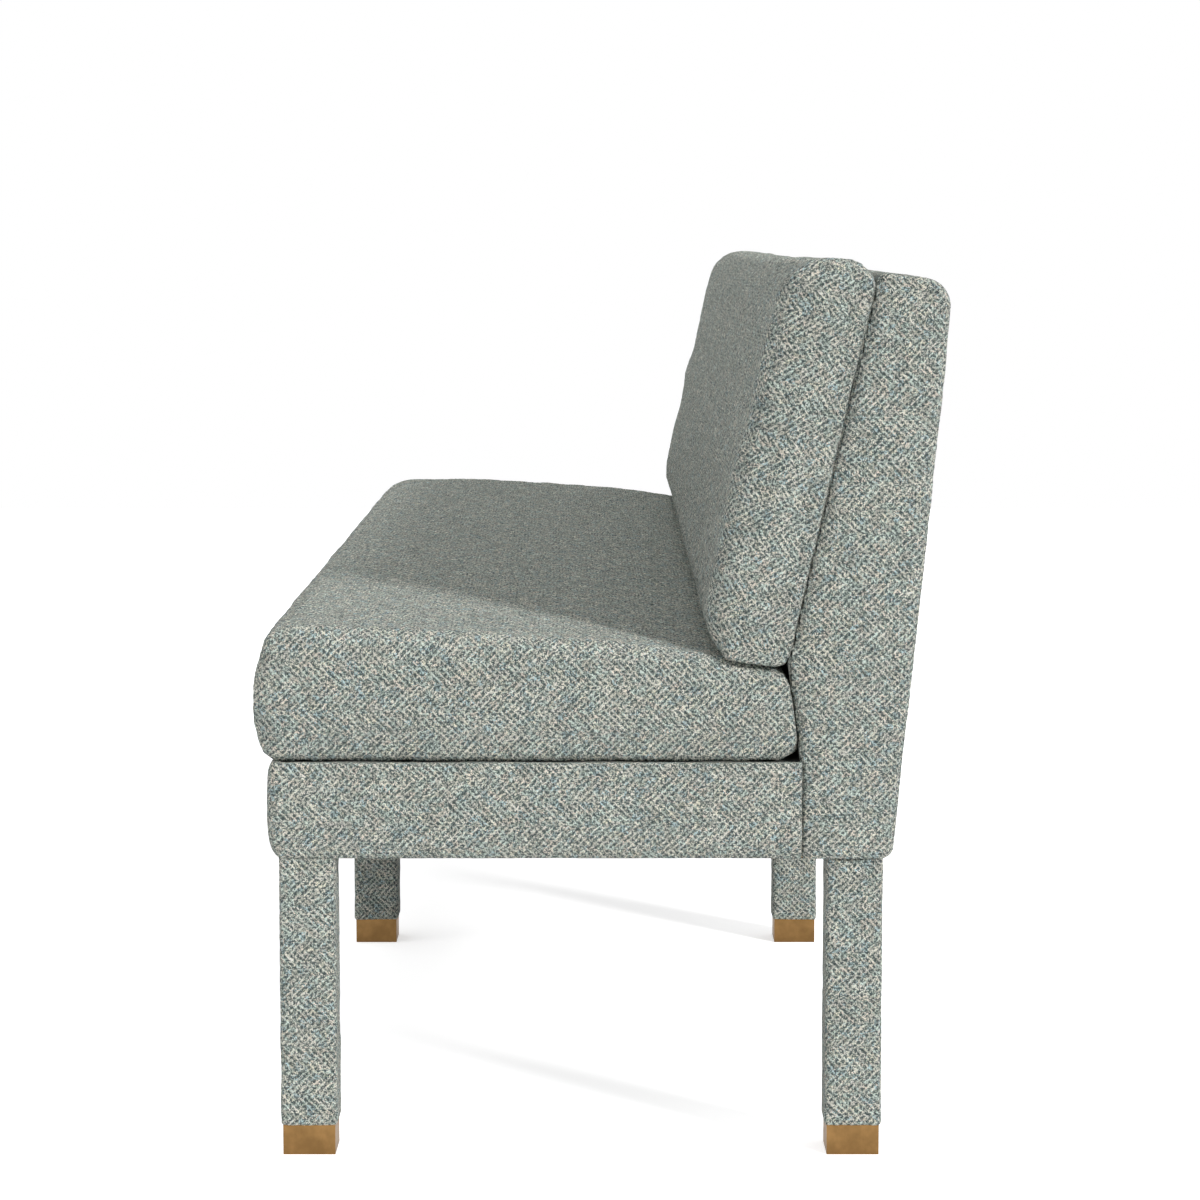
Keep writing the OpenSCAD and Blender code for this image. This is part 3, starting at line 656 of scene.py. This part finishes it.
def arc_corner(before, corner, after, radius, steps):
    """Points of the arc that rounds one corner, or the corner alone where the radius is 0."""
    if radius == 0:
        return [corner]
    a = (before - corner) / np.linalg.norm(before - corner)
    b = (after - corner) / np.linalg.norm(after - corner)
    half = math.acos(np.clip(a @ b, -1, 1)) / 2
    centre = corner + (a + b) / np.linalg.norm(a + b) * radius / math.sin(half)
    start = corner + a * radius / math.tan(half) - centre
    end = corner + b * radius / math.tan(half) - centre
    sweep = math.pi - 2 * half
    turned = [k / steps for k in range(steps + 1)]
    return [
        centre + (math.sin((1 - t) * sweep) * start + math.sin(t * sweep) * end) / math.sin(sweep)
        for t in turned
    ]


def outline(corners, radii, steps=ARC_STEPS):
    corners = [np.array(corner, float) for corner in corners]
    out = []
    for k, corner in enumerate(corners):
        out += arc_corner(corners[k - 1], corner, corners[(k + 1) % len(corners)], radii[k], steps)
    return np.array(out)


def evenly(path, step):
    """The path with points at most one step apart, each of its own corners kept."""
    out = [path[0]]
    for a, b in zip(path[:-1], path[1:]):
        count = max(1, math.ceil(np.linalg.norm(b - a) / step))
        out += [a + (b - a) * k / count for k in range(1, count + 1)]
    return np.array(out)


def to_the_right(path, distance):
    """The open path moved to its right by a distance."""
    run = np.gradient(path, axis=0)
    run /= np.linalg.norm(run, axis=1)[:, None]
    return path + distance * np.column_stack((run[:, 1], -run[:, 0]))


def stations(start, end, step):
    return np.linspace(start, end, max(2, round(abs(end - start) / step) + 1))


def loft(name, rings, closed=False):
    """A closed solid through equal rings. Its ends are filled or, where closed, join each other."""
    rings = [np.asarray(ring) for ring in rings]
    count = len(rings[0])
    spans = len(rings) if closed else len(rings) - 1
    faces = []
    for r in range(spans):
        low = r * count
        high = (r + 1) % len(rings) * count
        for k in range(count):
            m = (k + 1) % count
            faces.append((low + k, low + m, high + m, high + k))
    if not closed:
        faces.append(tuple(range(count)))
        faces.append(tuple(range((len(rings) - 1) * count, len(rings) * count)))
    return mesh_object(name, np.concatenate(rings), faces)


# Sizes shared with the frame

HALF_FRAME = 1054.4 * MM
FRAME_FRONT = -316.8 * MM
BASE_REAR = 278.8 * MM
SEAM_Y = 198.264 * MM
BASE_BOTTOM = 301 * MM
DECK_TOP = 397.8 * MM
COVER = 2.4 * MM
LEFT_END = ((-1, 0, 0), (-HALF_FRAME, 0, 0))
RIGHT_END = ((1, 0, 0), (HALF_FRAME, 0, 0))
ABOVE_BASE = ((0, 0, -1), (0, 0, BASE_BOTTOM))
BELOW_DECK = ((0, 0, 1), (0, 0, DECK_TOP))


def frame_side(sign):
    """The plane that keeps an end's padding outside the frame."""
    return ((-sign, 0, 0), (sign * HALF_FRAME, 0, 0))


# Back covers: cloth drawn over the inside and the outside of the back

# Section through the back, (Y, Z) in millimetres, and the radius of each corner.
BACK_CORNERS = [
    (198.264, 301), (289.9, 301), (344.9, 871.177), (272.607, 880),
    (185.934, 495.4), (198.264, 397.8),
]
BACK_RADII = [0, 12, 27, 10, 0, 0]
COVER_JOIN = np.array((342.3, 844)) * MM
OUTSIDE_END = np.array((BASE_REAR, BASE_BOTTOM))
STRIP_STEP = 9 * MM


def cloth_strip(name, path, node, seed):
    """Cloth whose outer face follows the path (Y, Z), with the frame to its right."""
    path = evenly(path, STRIP_STEP)
    section = np.concatenate((path, to_the_right(path, COVER)[::-1]))
    rings = []
    for x in stations(-HALF_FRAME, HALF_FRAME, STRIP_STEP):
        rings.append(np.column_stack((np.full(len(section), x), section)))
    strip = loft(name, rings)
    roughen(strip, waves=((0.12, 0.4 * MM),), nub=0.25 * MM, seed=seed)
    hold_back(strip, LEFT_END, RIGHT_END, ABOVE_BASE)
    dress(strip, TWEED_FRAME, "cover_fabric", "frame", node)


def add_back_covers():
    ring = outline(BACK_CORNERS, BACK_RADII)[::-1] * MM
    over_top = 2 + 2 * ARC_POINTS
    inside = np.vstack((ring[:over_top], COVER_JOIN))
    outside = np.vstack((COVER_JOIN, ring[over_top:over_top + ARC_POINTS], OUTSIDE_END))
    cloth_strip("inside_back", inside, "inside_back_cover", seed=31)
    cloth_strip("outside_back", outside, "outside_back_cover", seed=32)


add_back_covers()


# Back panels: the padded ends of the back, crowned across their width

# Y of the panel's front and rear edges at some heights.
PANEL_Z = (0.301, 0.398, 0.495, 0.871)
PANEL_FRONT = (0.198, 0.198, 0.186, 0.272)
PANEL_REAR = (0.290, 0.299, 0.308, 0.345)
PANEL_VOXEL = 4 * MM
PANEL_SKIN = 8 * MM
PANEL_CROWN = 5.5 * MM
PANEL_ROLL = 4.5 * MM
PANEL_ROLL_POWER = 6
PANEL_ROLL_RISE = 20 * MM
REAR_MORE = 1.8 * MM
REAR_MORE_Z = (0.4, 0.55, 0.8, 0.86)
REAR_MORE_SHARE = (0.6, 1, 1, 0)
REAR_MORE_FADE = 100 * MM


def panel_shape(points, sign):
    """Fills out the rear, rounds the outer face, and rolls its front edge in above the deck."""
    x, y, z = axis_views(points)
    beside_apron = z < DECK_TOP
    y[beside_apron] = np.maximum(y[beside_apron], SEAM_Y)
    more = REAR_MORE * np.interp(z, REAR_MORE_Z, REAR_MORE_SHARE)
    y += more * fade(y, SEAM_Y, SEAM_Y + REAR_MORE_FADE)
    front, rear = [np.interp(z, PANEL_Z, edge) for edge in (PANEL_FRONT, PANEL_REAR)]
    across = (2 * y - front - rear) / (rear - front)
    out = fade(np.abs(x), HALF_FRAME, HALF_FRAME + PANEL_SKIN)
    roll = PANEL_ROLL * np.clip(-across, 0, 1) ** PANEL_ROLL_POWER
    roll *= fade(z, DECK_TOP, DECK_TOP + PANEL_ROLL_RISE)
    x -= sign * (PANEL_CROWN * np.clip(across, -1, 1) ** 2 + roll) * out
    return points


def add_back_panel(side, sign):
    """End of the back: cover and padding in one soft piece."""
    panel = remeshed(f"{side}_back_panel", f"{side}_back_padding", PANEL_VOXEL)
    points = get_points(panel.data) + COVER * get_normals(panel.data)
    set_points(panel.data, panel_shape(points, sign))
    roughen(panel, waves=((0.1, 0.4 * MM),), nub=0.3 * MM, seed=42 + sign)
    hold_back(panel, frame_side(sign), ABOVE_BASE)
    dress(panel, TWEED_FRAME, "cover_fabric", "frame", f"{side}_back_cover", f"{side}_back_padding")


add_back_panel("left", -1)
add_back_panel("right", 1)


# Aprons: padded skirts round the base, between its underside and the deck

SEAM_LAP = 1.2 * MM
APRON_BULGE = 13.4 * MM
APRON_WIDEST = 0.53
APRON_TOP_FALL = 1.2 * MM
APRON_ROLL = (1.0 * MM, 3.6 * MM)
APRON_ROLL_POWER = 9
APRON_FOOT_FALL = 3.0 * MM
APRON_FOOT_ROLL = 8.8 * MM
APRON_FOOT_POWER = 6
APRON_ROWS = 25
APRON_TURNS = 6
END_APRON_STEP = 5 * MM
FRONT_APRON_STEP = 7 * MM


def apron_out(share, roll):
    """How far the apron stands out from the frame, at a share of its height."""
    if share > APRON_WIDEST:
        up = (share - APRON_WIDEST) / (1 - APRON_WIDEST)
        return APRON_BULGE - APRON_TOP_FALL * up ** 2 - roll * up ** APRON_ROLL_POWER
    down = (APRON_WIDEST - share) / APRON_WIDEST
    return APRON_BULGE - APRON_FOOT_FALL * down ** 2 - APRON_FOOT_ROLL * down ** APRON_FOOT_POWER


def apron_ring(place, outward):
    """Section of the apron at a place (X, Y) on the frame's side, facing outward."""
    shares = np.linspace(0, 1, APRON_ROWS)
    heights = BASE_BOTTOM + shares * (DECK_TOP - BASE_BOTTOM)
    roll = np.interp(-outward[1], (0, 1), APRON_ROLL)
    reach = np.array([apron_out(share, roll) for share in shares])
    out = place[None, :] + reach[:, None] * outward
    back = [(*place, DECK_TOP), (*place, BASE_BOTTOM)]
    return np.vstack((np.column_stack((out, heights)), back))


def add_apron(name, rings, planes, seed):
    apron = loft(name, rings)
    roughen(apron, waves=((0.09, 0.5 * MM),), nub=0.3 * MM, seed=seed)
    hold_back(apron, *planes, ABOVE_BASE, BELOW_DECK)
    dress(apron, TWEED_FRAME, "cover_fabric", "frame", f"{name}_cover", f"{name}_padding")


def add_end_apron(side, sign):
    """From the seam at the back panel along the end, and round the front corner."""
    rings = []
    for y in stations(SEAM_Y + SEAM_LAP, FRAME_FRONT, END_APRON_STEP):
        rings.append(apron_ring(np.array((sign * HALF_FRAME, y)), np.array((sign, 0))))
    for turn in np.linspace(0, math.pi / 2, APRON_TURNS)[1:]:
        outward = np.array((sign * math.cos(turn), -math.sin(turn)))
        rings.append(apron_ring(np.array((sign * HALF_FRAME, FRAME_FRONT)), outward))
    seam = ((0, 1, 0), (0, SEAM_Y + SEAM_LAP, 0))
    add_apron(f"{side}_apron", rings, [frame_side(sign), seam], seed=52 + sign)


def add_front_apron():
    rings = []
    for x in stations(-HALF_FRAME, HALF_FRAME, FRONT_APRON_STEP):
        rings.append(apron_ring(np.array((x, FRAME_FRONT)), np.array((0, -1))))
    planes = [LEFT_END, RIGHT_END, ((0, 1, 0), (0, FRAME_FRONT, 0))]
    add_apron("front_apron", rings, planes, seed=55)


add_end_apron("left", -1)
add_end_apron("right", 1)
add_front_apron()


# Leg sleeves: cloth glued round each leg, with its foot turned in above the cap

LEG_HALF = 25.8 * MM
SLEEVE_FOOT = 30.3 * MM
SLEEVE_ROUND = 6 * MM
SLEEVE_ROUND_STEPS = 4
SLEEVE_RING_STEP = 5.8 * MM
SLEEVE_ROW_STEP = 5 * MM
LEG_ROWS = {"front": -291.0 * MM, "rear": 253.0 * MM}
LEG_COLUMNS = {"left": -1028.6 * MM, "middle": 0.0, "right": 1028.6 * MM}
LEGS = [(row, column) for row in LEG_ROWS for column in LEG_COLUMNS]
# Rise above the foot, and how far the cloth is turned in there.
HEM = ((0.0, 1.3 * MM), (0.8 * MM, 0.4 * MM), (2.0 * MM, 0.0))
HEM_HEIGHT = 4 * MM


def add_sleeve(row, column, seed):
    half = LEG_HALF + COVER
    square = [(half, -half), (half, half), (-half, half), (-half, -half)]
    round_ring = outline(square, [SLEEVE_ROUND] * 4, SLEEVE_ROUND_STEPS)
    ring = evenly(np.vstack((round_ring, round_ring[:1])), SLEEVE_RING_STEP)[:-1]
    inner = np.clip(ring, -LEG_HALF, LEG_HALF)
    centre = np.array((LEG_COLUMNS[column], LEG_ROWS[row]))
    heights = list(stations(SLEEVE_FOOT + HEM_HEIGHT, BASE_BOTTOM, SLEEVE_ROW_STEP))
    sections = []
    for outer, within in zip(ring, inner):
        inwards = (within - outer) / np.linalg.norm(within - outer)
        line = [(*(centre + outer + inwards * back), SLEEVE_FOOT + rise) for rise, back in HEM]
        line += [(*(centre + outer), z) for z in heights]
        line += [(*(centre + within), BASE_BOTTOM), (*(centre + within), SLEEVE_FOOT)]
        sections.append(line)
    sleeve = loft(f"{row}_{column}_leg_cloth", sections, closed=True)
    roughen(sleeve, waves=((0.06, 0.25 * MM),), nub=0.25 * MM, seed=seed)
    hold_back(sleeve, ((0, 0, 1), (0, 0, BASE_BOTTOM)))
    dress(sleeve, TWEED_LEG, "cover_fabric", "frame", f"{row}_{column}_sleeve")


for seed, (row, column) in enumerate(LEGS, start=60):
    add_sleeve(row, column, seed)


# Cushion helpers: foam in a cover, swollen by a cloth simulation that is held close to the cut shape

PRESSURE = 4
FRAMES = 20
SWELL_MORE = 0.8 * MM
CUSHION_VOXEL = 8 * MM
CUSHION_NUB = 0.55 * MM
EDGE_RADIUS = 20 * MM
ARC_FADE = 1 / 3
CORNER_FADE = (2.8 * MM, 16.8 * MM)
FRONT_LEVELS = 40
FRONT_MIDDLE = 0.9


def swell(obj, cap):
    """Blows the cover up like a filled cushion. No point moves out further than the cap."""
    start = get_points(obj.data)
    normals = get_normals(obj.data)
    cloth = obj.modifiers.new("swell", "CLOTH")
    cloth.settings.use_pressure = True
    cloth.settings.uniform_pressure_force = PRESSURE
    cloth.settings.effector_weights.gravity = 0
    cloth.point_cache.frame_start = 1
    cloth.point_cache.frame_end = FRAMES
    for number in range(1, FRAMES + 1):
        scene.frame_set(number)
    bake_modifiers(obj)
    scene.frame_set(1)
    out = np.clip(np.sum((get_points(obj.data) - start) * normals, axis=1), 0, cap)
    set_points(obj.data, start + out[:, None] * normals)


def subdivide(obj):
    obj.modifiers.new("finer", "SUBSURF").levels = 1
    bake_modifiers(obj)


def square_edges(points, half, plane, power):
    """Fills out the end edges along a plane, where the foam presses the cover into a tight corner."""
    normal, place = np.array(plane, float)
    normal /= np.linalg.norm(normal)
    inwards = EDGE_RADIUS - (half - np.abs(points[:, 0]))
    down = EDGE_RADIUS + (points - place) @ normal
    near = (inwards > 0) & (down > 0)
    size = np.hypot(inwards, down)[near]
    cos, sin = inwards[near] / size, down[near] / size
    full = EDGE_RADIUS / (cos ** power + sin ** power) ** (1 / power)
    along = points[near, 1] * normal[2] - points[near, 2] * normal[1]
    from_corner = np.minimum(along - along.min(), along.max() - along)
    grow = (full / size - 1) * fade(np.minimum(cos, sin), 0, ARC_FADE)
    grow *= fade(from_corner, *CORNER_FADE)
    points[near, 0] += np.sign(points[near, 0]) * inwards[near] * grow
    points[near] += (down[near] * grow)[:, None] * normal


def soften_front_edges(points, half, radius):
    """Rounds the upright front edges at both ends with a larger radius."""
    levels = np.linspace(points[:, 2].min(), points[:, 2].max(), FRONT_LEVELS + 1)
    middle = points[np.abs(points[:, 0]) < FRONT_MIDDLE * half]
    bins = np.digitize(middle[:, 2], levels) - 1
    front = np.full(FRONT_LEVELS, np.nan)
    for k in range(FRONT_LEVELS):
        if (bins == k).any():
            front[k] = middle[bins == k, 1].min()
    heights = (levels[:-1] + levels[1:]) / 2
    known = ~np.isnan(front)
    depth = points[:, 1] - np.interp(points[:, 2], heights[known], front[known])
    inwards = radius - (half - np.abs(points[:, 0]))
    out = radius - depth
    size = np.hypot(inwards, out)
    near = (inwards > 0) & (out > 0) & (size > radius)
    shrink = 1 - radius / size[near]
    points[near, 0] -= np.sign(points[near, 0]) * inwards[near] * shrink
    points[near, 1] += out[near] * shrink


def fill_out(points, node):
    """Stretches the cushion to the size of its CAD cover."""
    cover = get_points(nodes[node].data)
    low, high = cover.min(axis=0), cover.max(axis=0)
    share = (points - points.min(axis=0)) / np.ptp(points, axis=0)
    return low + share * (high - low)


def add_cushion(name, material, shape, waves, held, seed):
    """A loose cushion, cover and foam in one piece. It stays behind the planes that hold it."""
    cushion = remeshed(name, f"{name}_core", CUSHION_VOXEL)
    swell(cushion, COVER + SWELL_MORE)
    subdivide(cushion)
    set_points(cushion.data, shape(fill_out(get_points(cushion.data), f"{name}_cover")))
    roughen(cushion, waves, CUSHION_NUB, seed)
    hold_back(cushion, *held)
    dress(cushion, material, "cover_fabric", name, f"{name}_cover", f"{name}_core")


# Seat cushion. Each pair of limits is where a change of shape starts and where it is complete.

SEAT_TOP_REAR = (0, 184.903 * MM, 500.4 * MM)
SEAT_PLANES = [
    ((0, 102.2, 12.961), SEAT_TOP_REAR),
    ((0, 0, -1), (0, 0, 398.2 * MM)),
]
SEAT_HALF = 1062 * MM
SEAT_SQUARENESS = 14
SEAT_WAVES = ((0.16, 0.4 * MM), (0.05, 0.3 * MM))
FRONT_MORE = 3.6 * MM
FRONT_Y = (-0.30, -0.33)
# (Y, Z) of the top front edge, which stands out further.
FRONT_EDGE = (-325 * MM, 522 * MM)
FRONT_EDGE_MORE = 1.0 * MM
FRONT_EDGE_WIDTH = 14 * MM
FAR_CORNER_DROP = 7 * MM
FAR_CORNER_X = -1.06
FAR_CORNER_WIDTH = 0.08
FAR_CORNER_Y = (-0.20, -0.33)
FAR_CORNER_Z = (0.45, 0.52)
CROWN = 4.5 * MM
CROWN_END = 1.06
CROWN_POWER = 8
CROWN_Y = (-0.33, -0.2, 0.1, 0.18)
CROWN_SHARE = (0.4, 1, 1, 0.7)
CROWN_Z = (0.45, 0.49)
SAG_Y = (0.0, 0.05, 0.118, 0.187, 0.20)
SAG = (0.0, 1.6 * MM, 6.5 * MM, 12.4 * MM, 13.4 * MM)
END_TUCK = 7 * MM
END_TUCK_X = (1.03, 1.05)
END_TUCK_Z = (0.452, 0.398)


def seat_rise(points):
    """How far the top stands above its plane: its crown less its sag under the back cushion."""
    x, y, _ = axis_views(points)
    across = 1 - np.clip(np.abs(x) / CROWN_END, 0, 1) ** CROWN_POWER
    return CROWN * across * np.interp(y, CROWN_Y, CROWN_SHARE) - np.interp(y, SAG_Y, SAG)


def seat_shape(points):
    """The front stands out, the top is crowned and sags, and the ends tuck in at the foot.

    The top also falls towards the left front corner.
    """
    x, y, z = axis_views(points)
    edge_y, edge_z = FRONT_EDGE
    near_edge = np.exp(-((y - edge_y) ** 2 + (z - edge_z) ** 2) / FRONT_EDGE_WIDTH ** 2)
    corner = np.exp(-((x - FAR_CORNER_X) / FAR_CORNER_WIDTH) ** 2) * fade(y, *FAR_CORNER_Y)
    y -= FRONT_MORE * fade(y, *FRONT_Y) + FRONT_EDGE_MORE * near_edge
    z += FRONT_EDGE_MORE * near_edge
    z -= FAR_CORNER_DROP * corner * fade(z, *FAR_CORNER_Z)
    for plane in SEAT_PLANES:
        square_edges(points, SEAT_HALF, plane, SEAT_SQUARENESS)
    z += seat_rise(points) * fade(z, *CROWN_Z)
    tuck = fade(z, *END_TUCK_Z) ** 2 * fade(np.abs(x), *END_TUCK_X)
    x -= np.sign(x) * END_TUCK * tuck
    return points


add_cushion("seat_cushion", TWEED_SEAT, seat_shape, SEAT_WAVES, held=SEAT_PLANES, seed=71)


# Back cushion. The depths of its dip and of its folds are in millimetres.

BACK_HEEL = (0, 186.65 * MM, 500.65 * MM)
BACK_PLANES = [
    ((0, 388.35, -87.55), BACK_HEEL),
    ((0, -7.75, -92.59), BACK_HEEL),
]
BACK_HALF = 1060 * MM
BACK_SQUARENESS = 6
BACK_WAVES = ((0.16, 0.6 * MM), (0.05, 0.3 * MM))
BACK_THICK = 93 * MM
BACK_FRONT_HALF = 1061 * MM
BACK_FRONT_RADIUS = 38 * MM
RIDGE_X = (-1.02, -0.59, -0.21, 0.1, 0.39, 0.63, 0.85, 1.04)
RIDGE_DIP = (2.0, 3.0, 3.6, 3.4, 2.8, 0.9, 0.6, 0.0)
RIDGE_Z = (0.78, 0.88)
FOLD_Z = (
    0.500, 0.546, 0.565, 0.584, 0.603, 0.622, 0.641, 0.660,
    0.679, 0.698, 0.717, 0.736, 0.775, 0.813, 0.860,
)
FOLD_DEPTH = (2.0, 2.2, 1.0, 2.7, 3.2, 4.5, 6.1, 6.0, 4.3, 0.4, 0.4, 2.2, 4.3, 3.3, 2.5)
FOLD_X = (-0.3, -0.9)
FOLD_LEAST = 0.35
HEEL_DROP = 11 * MM
HEEL_Z = (0.62, 0.502)
HEEL_POWER = 1.3
# (Y, Z) of a point on top of the seat, and how fast the top falls towards the rear.
SEAT_TOP_PLACE = (-0.251, 0.529)
SEAT_TOP_SLOPE = 0.0635
CUSHION_GAP = 0.8 * MM


def back_shape(points):
    """The ridge dips between the ends, the front has soft folds, and the heel rests on the seat.

    The folds are deepest towards the left end.
    """
    x, y, z = axis_views(points)
    z -= np.interp(x, RIDGE_X, RIDGE_DIP) * MM * fade(z, *RIDGE_Z)
    normal, heel = np.array(BACK_PLANES[0], float)
    forward = -(points - heel) @ normal / np.linalg.norm(normal) / BACK_THICK
    deep = FOLD_LEAST + (1 - FOLD_LEAST) * fade(x, *FOLD_X)
    fold = np.interp(z, FOLD_Z, FOLD_DEPTH) * MM
    y += fold * deep * np.clip(forward, 0, 1)
    soften_front_edges(points, BACK_FRONT_HALF, BACK_FRONT_RADIUS)
    for plane in BACK_PLANES:
        square_edges(points, BACK_HALF, plane, BACK_SQUARENESS)
    z -= HEEL_DROP * fade(z, *HEEL_Z) ** HEEL_POWER
    top_y, top_z = SEAT_TOP_PLACE
    seat_top = top_z - SEAT_TOP_SLOPE * (y - top_y) + seat_rise(points)
    z[:] = np.maximum(z, seat_top + CUSHION_GAP)
    return points


add_cushion("back_cushion", TWEED_BACK, back_shape, BACK_WAVES, held=BACK_PLANES[:1], seed=72)


# Zips of the cushions: two tapes, a row of teeth, and a slider with its pull

ZIP_LENGTH = 760 * MM
ZIP_PITCH = 3.2 * MM
ZIP_TAPE = (ZIP_LENGTH, 6.6 * MM, 0.6 * MM)
ZIP_TOOTH = (1.8 * MM, 3.4 * MM, 1.4 * MM)
ZIP_SLIDER = (9 * MM, 7 * MM, 2.4 * MM)
ZIP_PULL = (20 * MM, 4.5 * MM, 0.9 * MM)
TAPE_PLACE = (4.6 * MM, 0.3 * MM)
TOOTH_PLACE = (0.7 * MM, 0.8 * MM)
SLIDER_PLACE = (ZIP_LENGTH / 2 - 14 * MM, 0, 1.3 * MM)
PULL_PLACE = (ZIP_LENGTH / 2 - 27 * MM, 0, 2.0 * MM)
BOX_CORNERS = ((-0.5, -0.5), (0.5, -0.5), (0.5, 0.5), (-0.5, 0.5))
BOX_FACES = ((0, 1, 2, 3), (4, 5, 6, 7), (0, 1, 5, 4), (1, 2, 6, 5), (2, 3, 7, 6), (3, 0, 4, 7))


def add_box(points, faces, centre, size):
    """Adds a box to the lists. The zip lies along X, its height along Y, outward is Z."""
    first = len(points)
    x, y, z = centre
    for dz in (-0.5, 0.5):
        for dx, dy in BOX_CORNERS:
            points.append((x + dx * size[0], y + dy * size[1], z + dz * size[2]))
    for face in BOX_FACES:
        faces.append(tuple(first + k for k in face))


def add_zip(name, place, up):
    """A zip centred at place (Y, Z), with up (Y, Z) along its height. It faces the rear."""
    points = []
    faces = []
    for side in (-1, 1):
        add_box(points, faces, (0, side * TAPE_PLACE[0], TAPE_PLACE[1]), ZIP_TAPE)
    tape_faces = len(faces)
    for k in range(int(ZIP_LENGTH / ZIP_PITCH)):
        x = -ZIP_LENGTH / 2 + (k + 0.5) * ZIP_PITCH
        side = 1 if k % 2 else -1
        add_box(points, faces, (x, side * TOOTH_PLACE[0], TOOTH_PLACE[1]), ZIP_TOOTH)
    add_box(points, faces, SLIDER_PLACE, ZIP_SLIDER)
    add_box(points, faces, PULL_PLACE, ZIP_PULL)
    out = np.array((up[1], -up[0]))
    placed = [
        (x, place[0] + y * up[0] + z * out[0], place[1] + y * up[1] + z * out[1])
        for x, y, z in points
    ]
    obj = mesh_object(f"{name}_zipper", placed, faces)
    dress(obj, SLOT_MATERIALS["zip"], "zip", name, f"{name}_zip")
    obj.data.materials.append(SLOT_MATERIALS["steel"])
    for polygon in obj.data.polygons:
        polygon.use_smooth = False
        polygon.material_index = 0 if polygon.index < tape_faces else 1


add_zip("seat_cushion", (191.0 * MM, 449.3 * MM), (-0.1258, 0.9921))
add_zip("back_cushion", (193.6 * MM, 540.4 * MM), (0.2199, 0.9755))


# Deck: thin cloth on top of the base, dented a little between the straps

DECK_REAR = 221.3 * MM
DECK_STEP = 12 * MM
DECK_DIP = 0.4 * MM
DECK_DIP_X = 0.1087
DECK_DIP_Y = 0.12


def add_deck():
    rings = []
    ys = stations(FRAME_FRONT, DECK_REAR, DECK_STEP)
    for x in stations(-HALF_FRAME, HALF_FRAME, DECK_STEP):
        dip_x = 1 - np.cos(2 * math.pi * x / DECK_DIP_X)
        dip = DECK_DIP * dip_x * (1 - np.cos(2 * math.pi * ys / DECK_DIP_Y))
        top = np.column_stack((np.full(len(ys), x), ys, DECK_TOP - dip))
        low = np.column_stack((np.full(len(ys), x), ys, np.full(len(ys), DECK_TOP - COVER)))
        rings.append(np.vstack((top, low[::-1])))
    deck = loft("deck", rings)
    dress(deck, SLOT_MATERIALS["deck_cloth"], "deck_cloth", "frame", "deck_cloth")


add_deck()


# Dust cover: thin cloth under the base, cut out round the legs

DUST_THICK = 0.8 * MM
DUST_STEP = 25 * MM
DUST_SLACK = 0.35 * MM
DUST_SLACK_X = 0.95
DUST_SLACK_Y = 1.2


def dust_slack(x, y):
    """How far the cloth hangs between the rails."""
    along = 1 - math.cos(2 * math.pi * x / DUST_SLACK_X)
    return max(DUST_SLACK * math.cos(2 * math.pi * y / DUST_SLACK_Y) * along, 0)


def kept_cells(all_x, all_y, leg_x, leg_y):
    """Cells of the grid that no leg stands in."""
    kept = set()
    for i in range(len(all_x) - 1):
        for k in range(len(all_y) - 1):
            mid_x = abs(all_x[i] + all_x[i + 1]) / 2
            mid_y = (all_y[k] + all_y[k + 1]) / 2
            at_leg_x = mid_x < LEG_HALF or mid_x > leg_x
            at_leg_y = mid_y < leg_y[0] or mid_y > leg_y[1]
            if not (at_leg_x and at_leg_y):
                kept.add((i, k))
    return kept


def dust_faces(kept, columns, layer):
    """Both sides of the cloth, and the strips that close it round its edge and its cut-outs."""
    faces = []
    for i, k in sorted(kept):
        a, b = i * columns + k, (i + 1) * columns + k
        quad = (a, b, b + 1, a + 1)
        faces.append(quad)
        faces.append(tuple(v + layer for v in quad))
        beside = ((i, k - 1), (i + 1, k), (i, k + 1), (i - 1, k))
        for side, cell in enumerate(beside):
            if cell not in kept:
                p, q = quad[side], quad[(side + 1) % 4]
                faces.append((p, q, q + layer, p + layer))
    return faces


def add_dust_cover():
    leg = 2 * LEG_HALF
    xs = [-HALF_FRAME, -HALF_FRAME + leg, -LEG_HALF, LEG_HALF, HALF_FRAME - leg, HALF_FRAME]
    ys = [FRAME_FRONT, FRAME_FRONT + leg, BASE_REAR - leg, BASE_REAR]
    all_x = evenly(np.array(xs)[:, None], DUST_STEP)[:, 0]
    all_y = evenly(np.array(ys)[:, None], DUST_STEP)[:, 0]
    points = []
    for level in (0, DUST_THICK):
        for x in all_x:
            points += [(x, y, BASE_BOTTOM + level - dust_slack(x, y)) for y in all_y]
    kept = kept_cells(all_x, all_y, HALF_FRAME - leg, ys[1:3])
    faces = dust_faces(kept, len(all_y), len(all_x) * len(all_y))
    cover = mesh_object("dust_sheet", points, faces)
    loose = bmesh.new()
    loose.from_mesh(cover.data)
    bmesh.ops.delete(loose, geom=[v for v in loose.verts if not v.link_faces], context="VERTS")
    loose.to_mesh(cover.data)
    loose.free()
    dress(cover, SLOT_MATERIALS["dust_cloth"], "dust_cloth", "frame", "dust_cover")


add_dust_cover()


# Brass caps keep their CAD shape, with slightly broken edges

CAP_EDGE = 0.5 * MM


def soften_caps():
    for row, column in LEGS:
        bevel = nodes[f"{row}_{column}_cap"].modifiers.new("edge", "BEVEL")
        bevel.width = CAP_EDGE
        bevel.segments = 2
        bevel.limit_method = "ANGLE"


soften_caps()
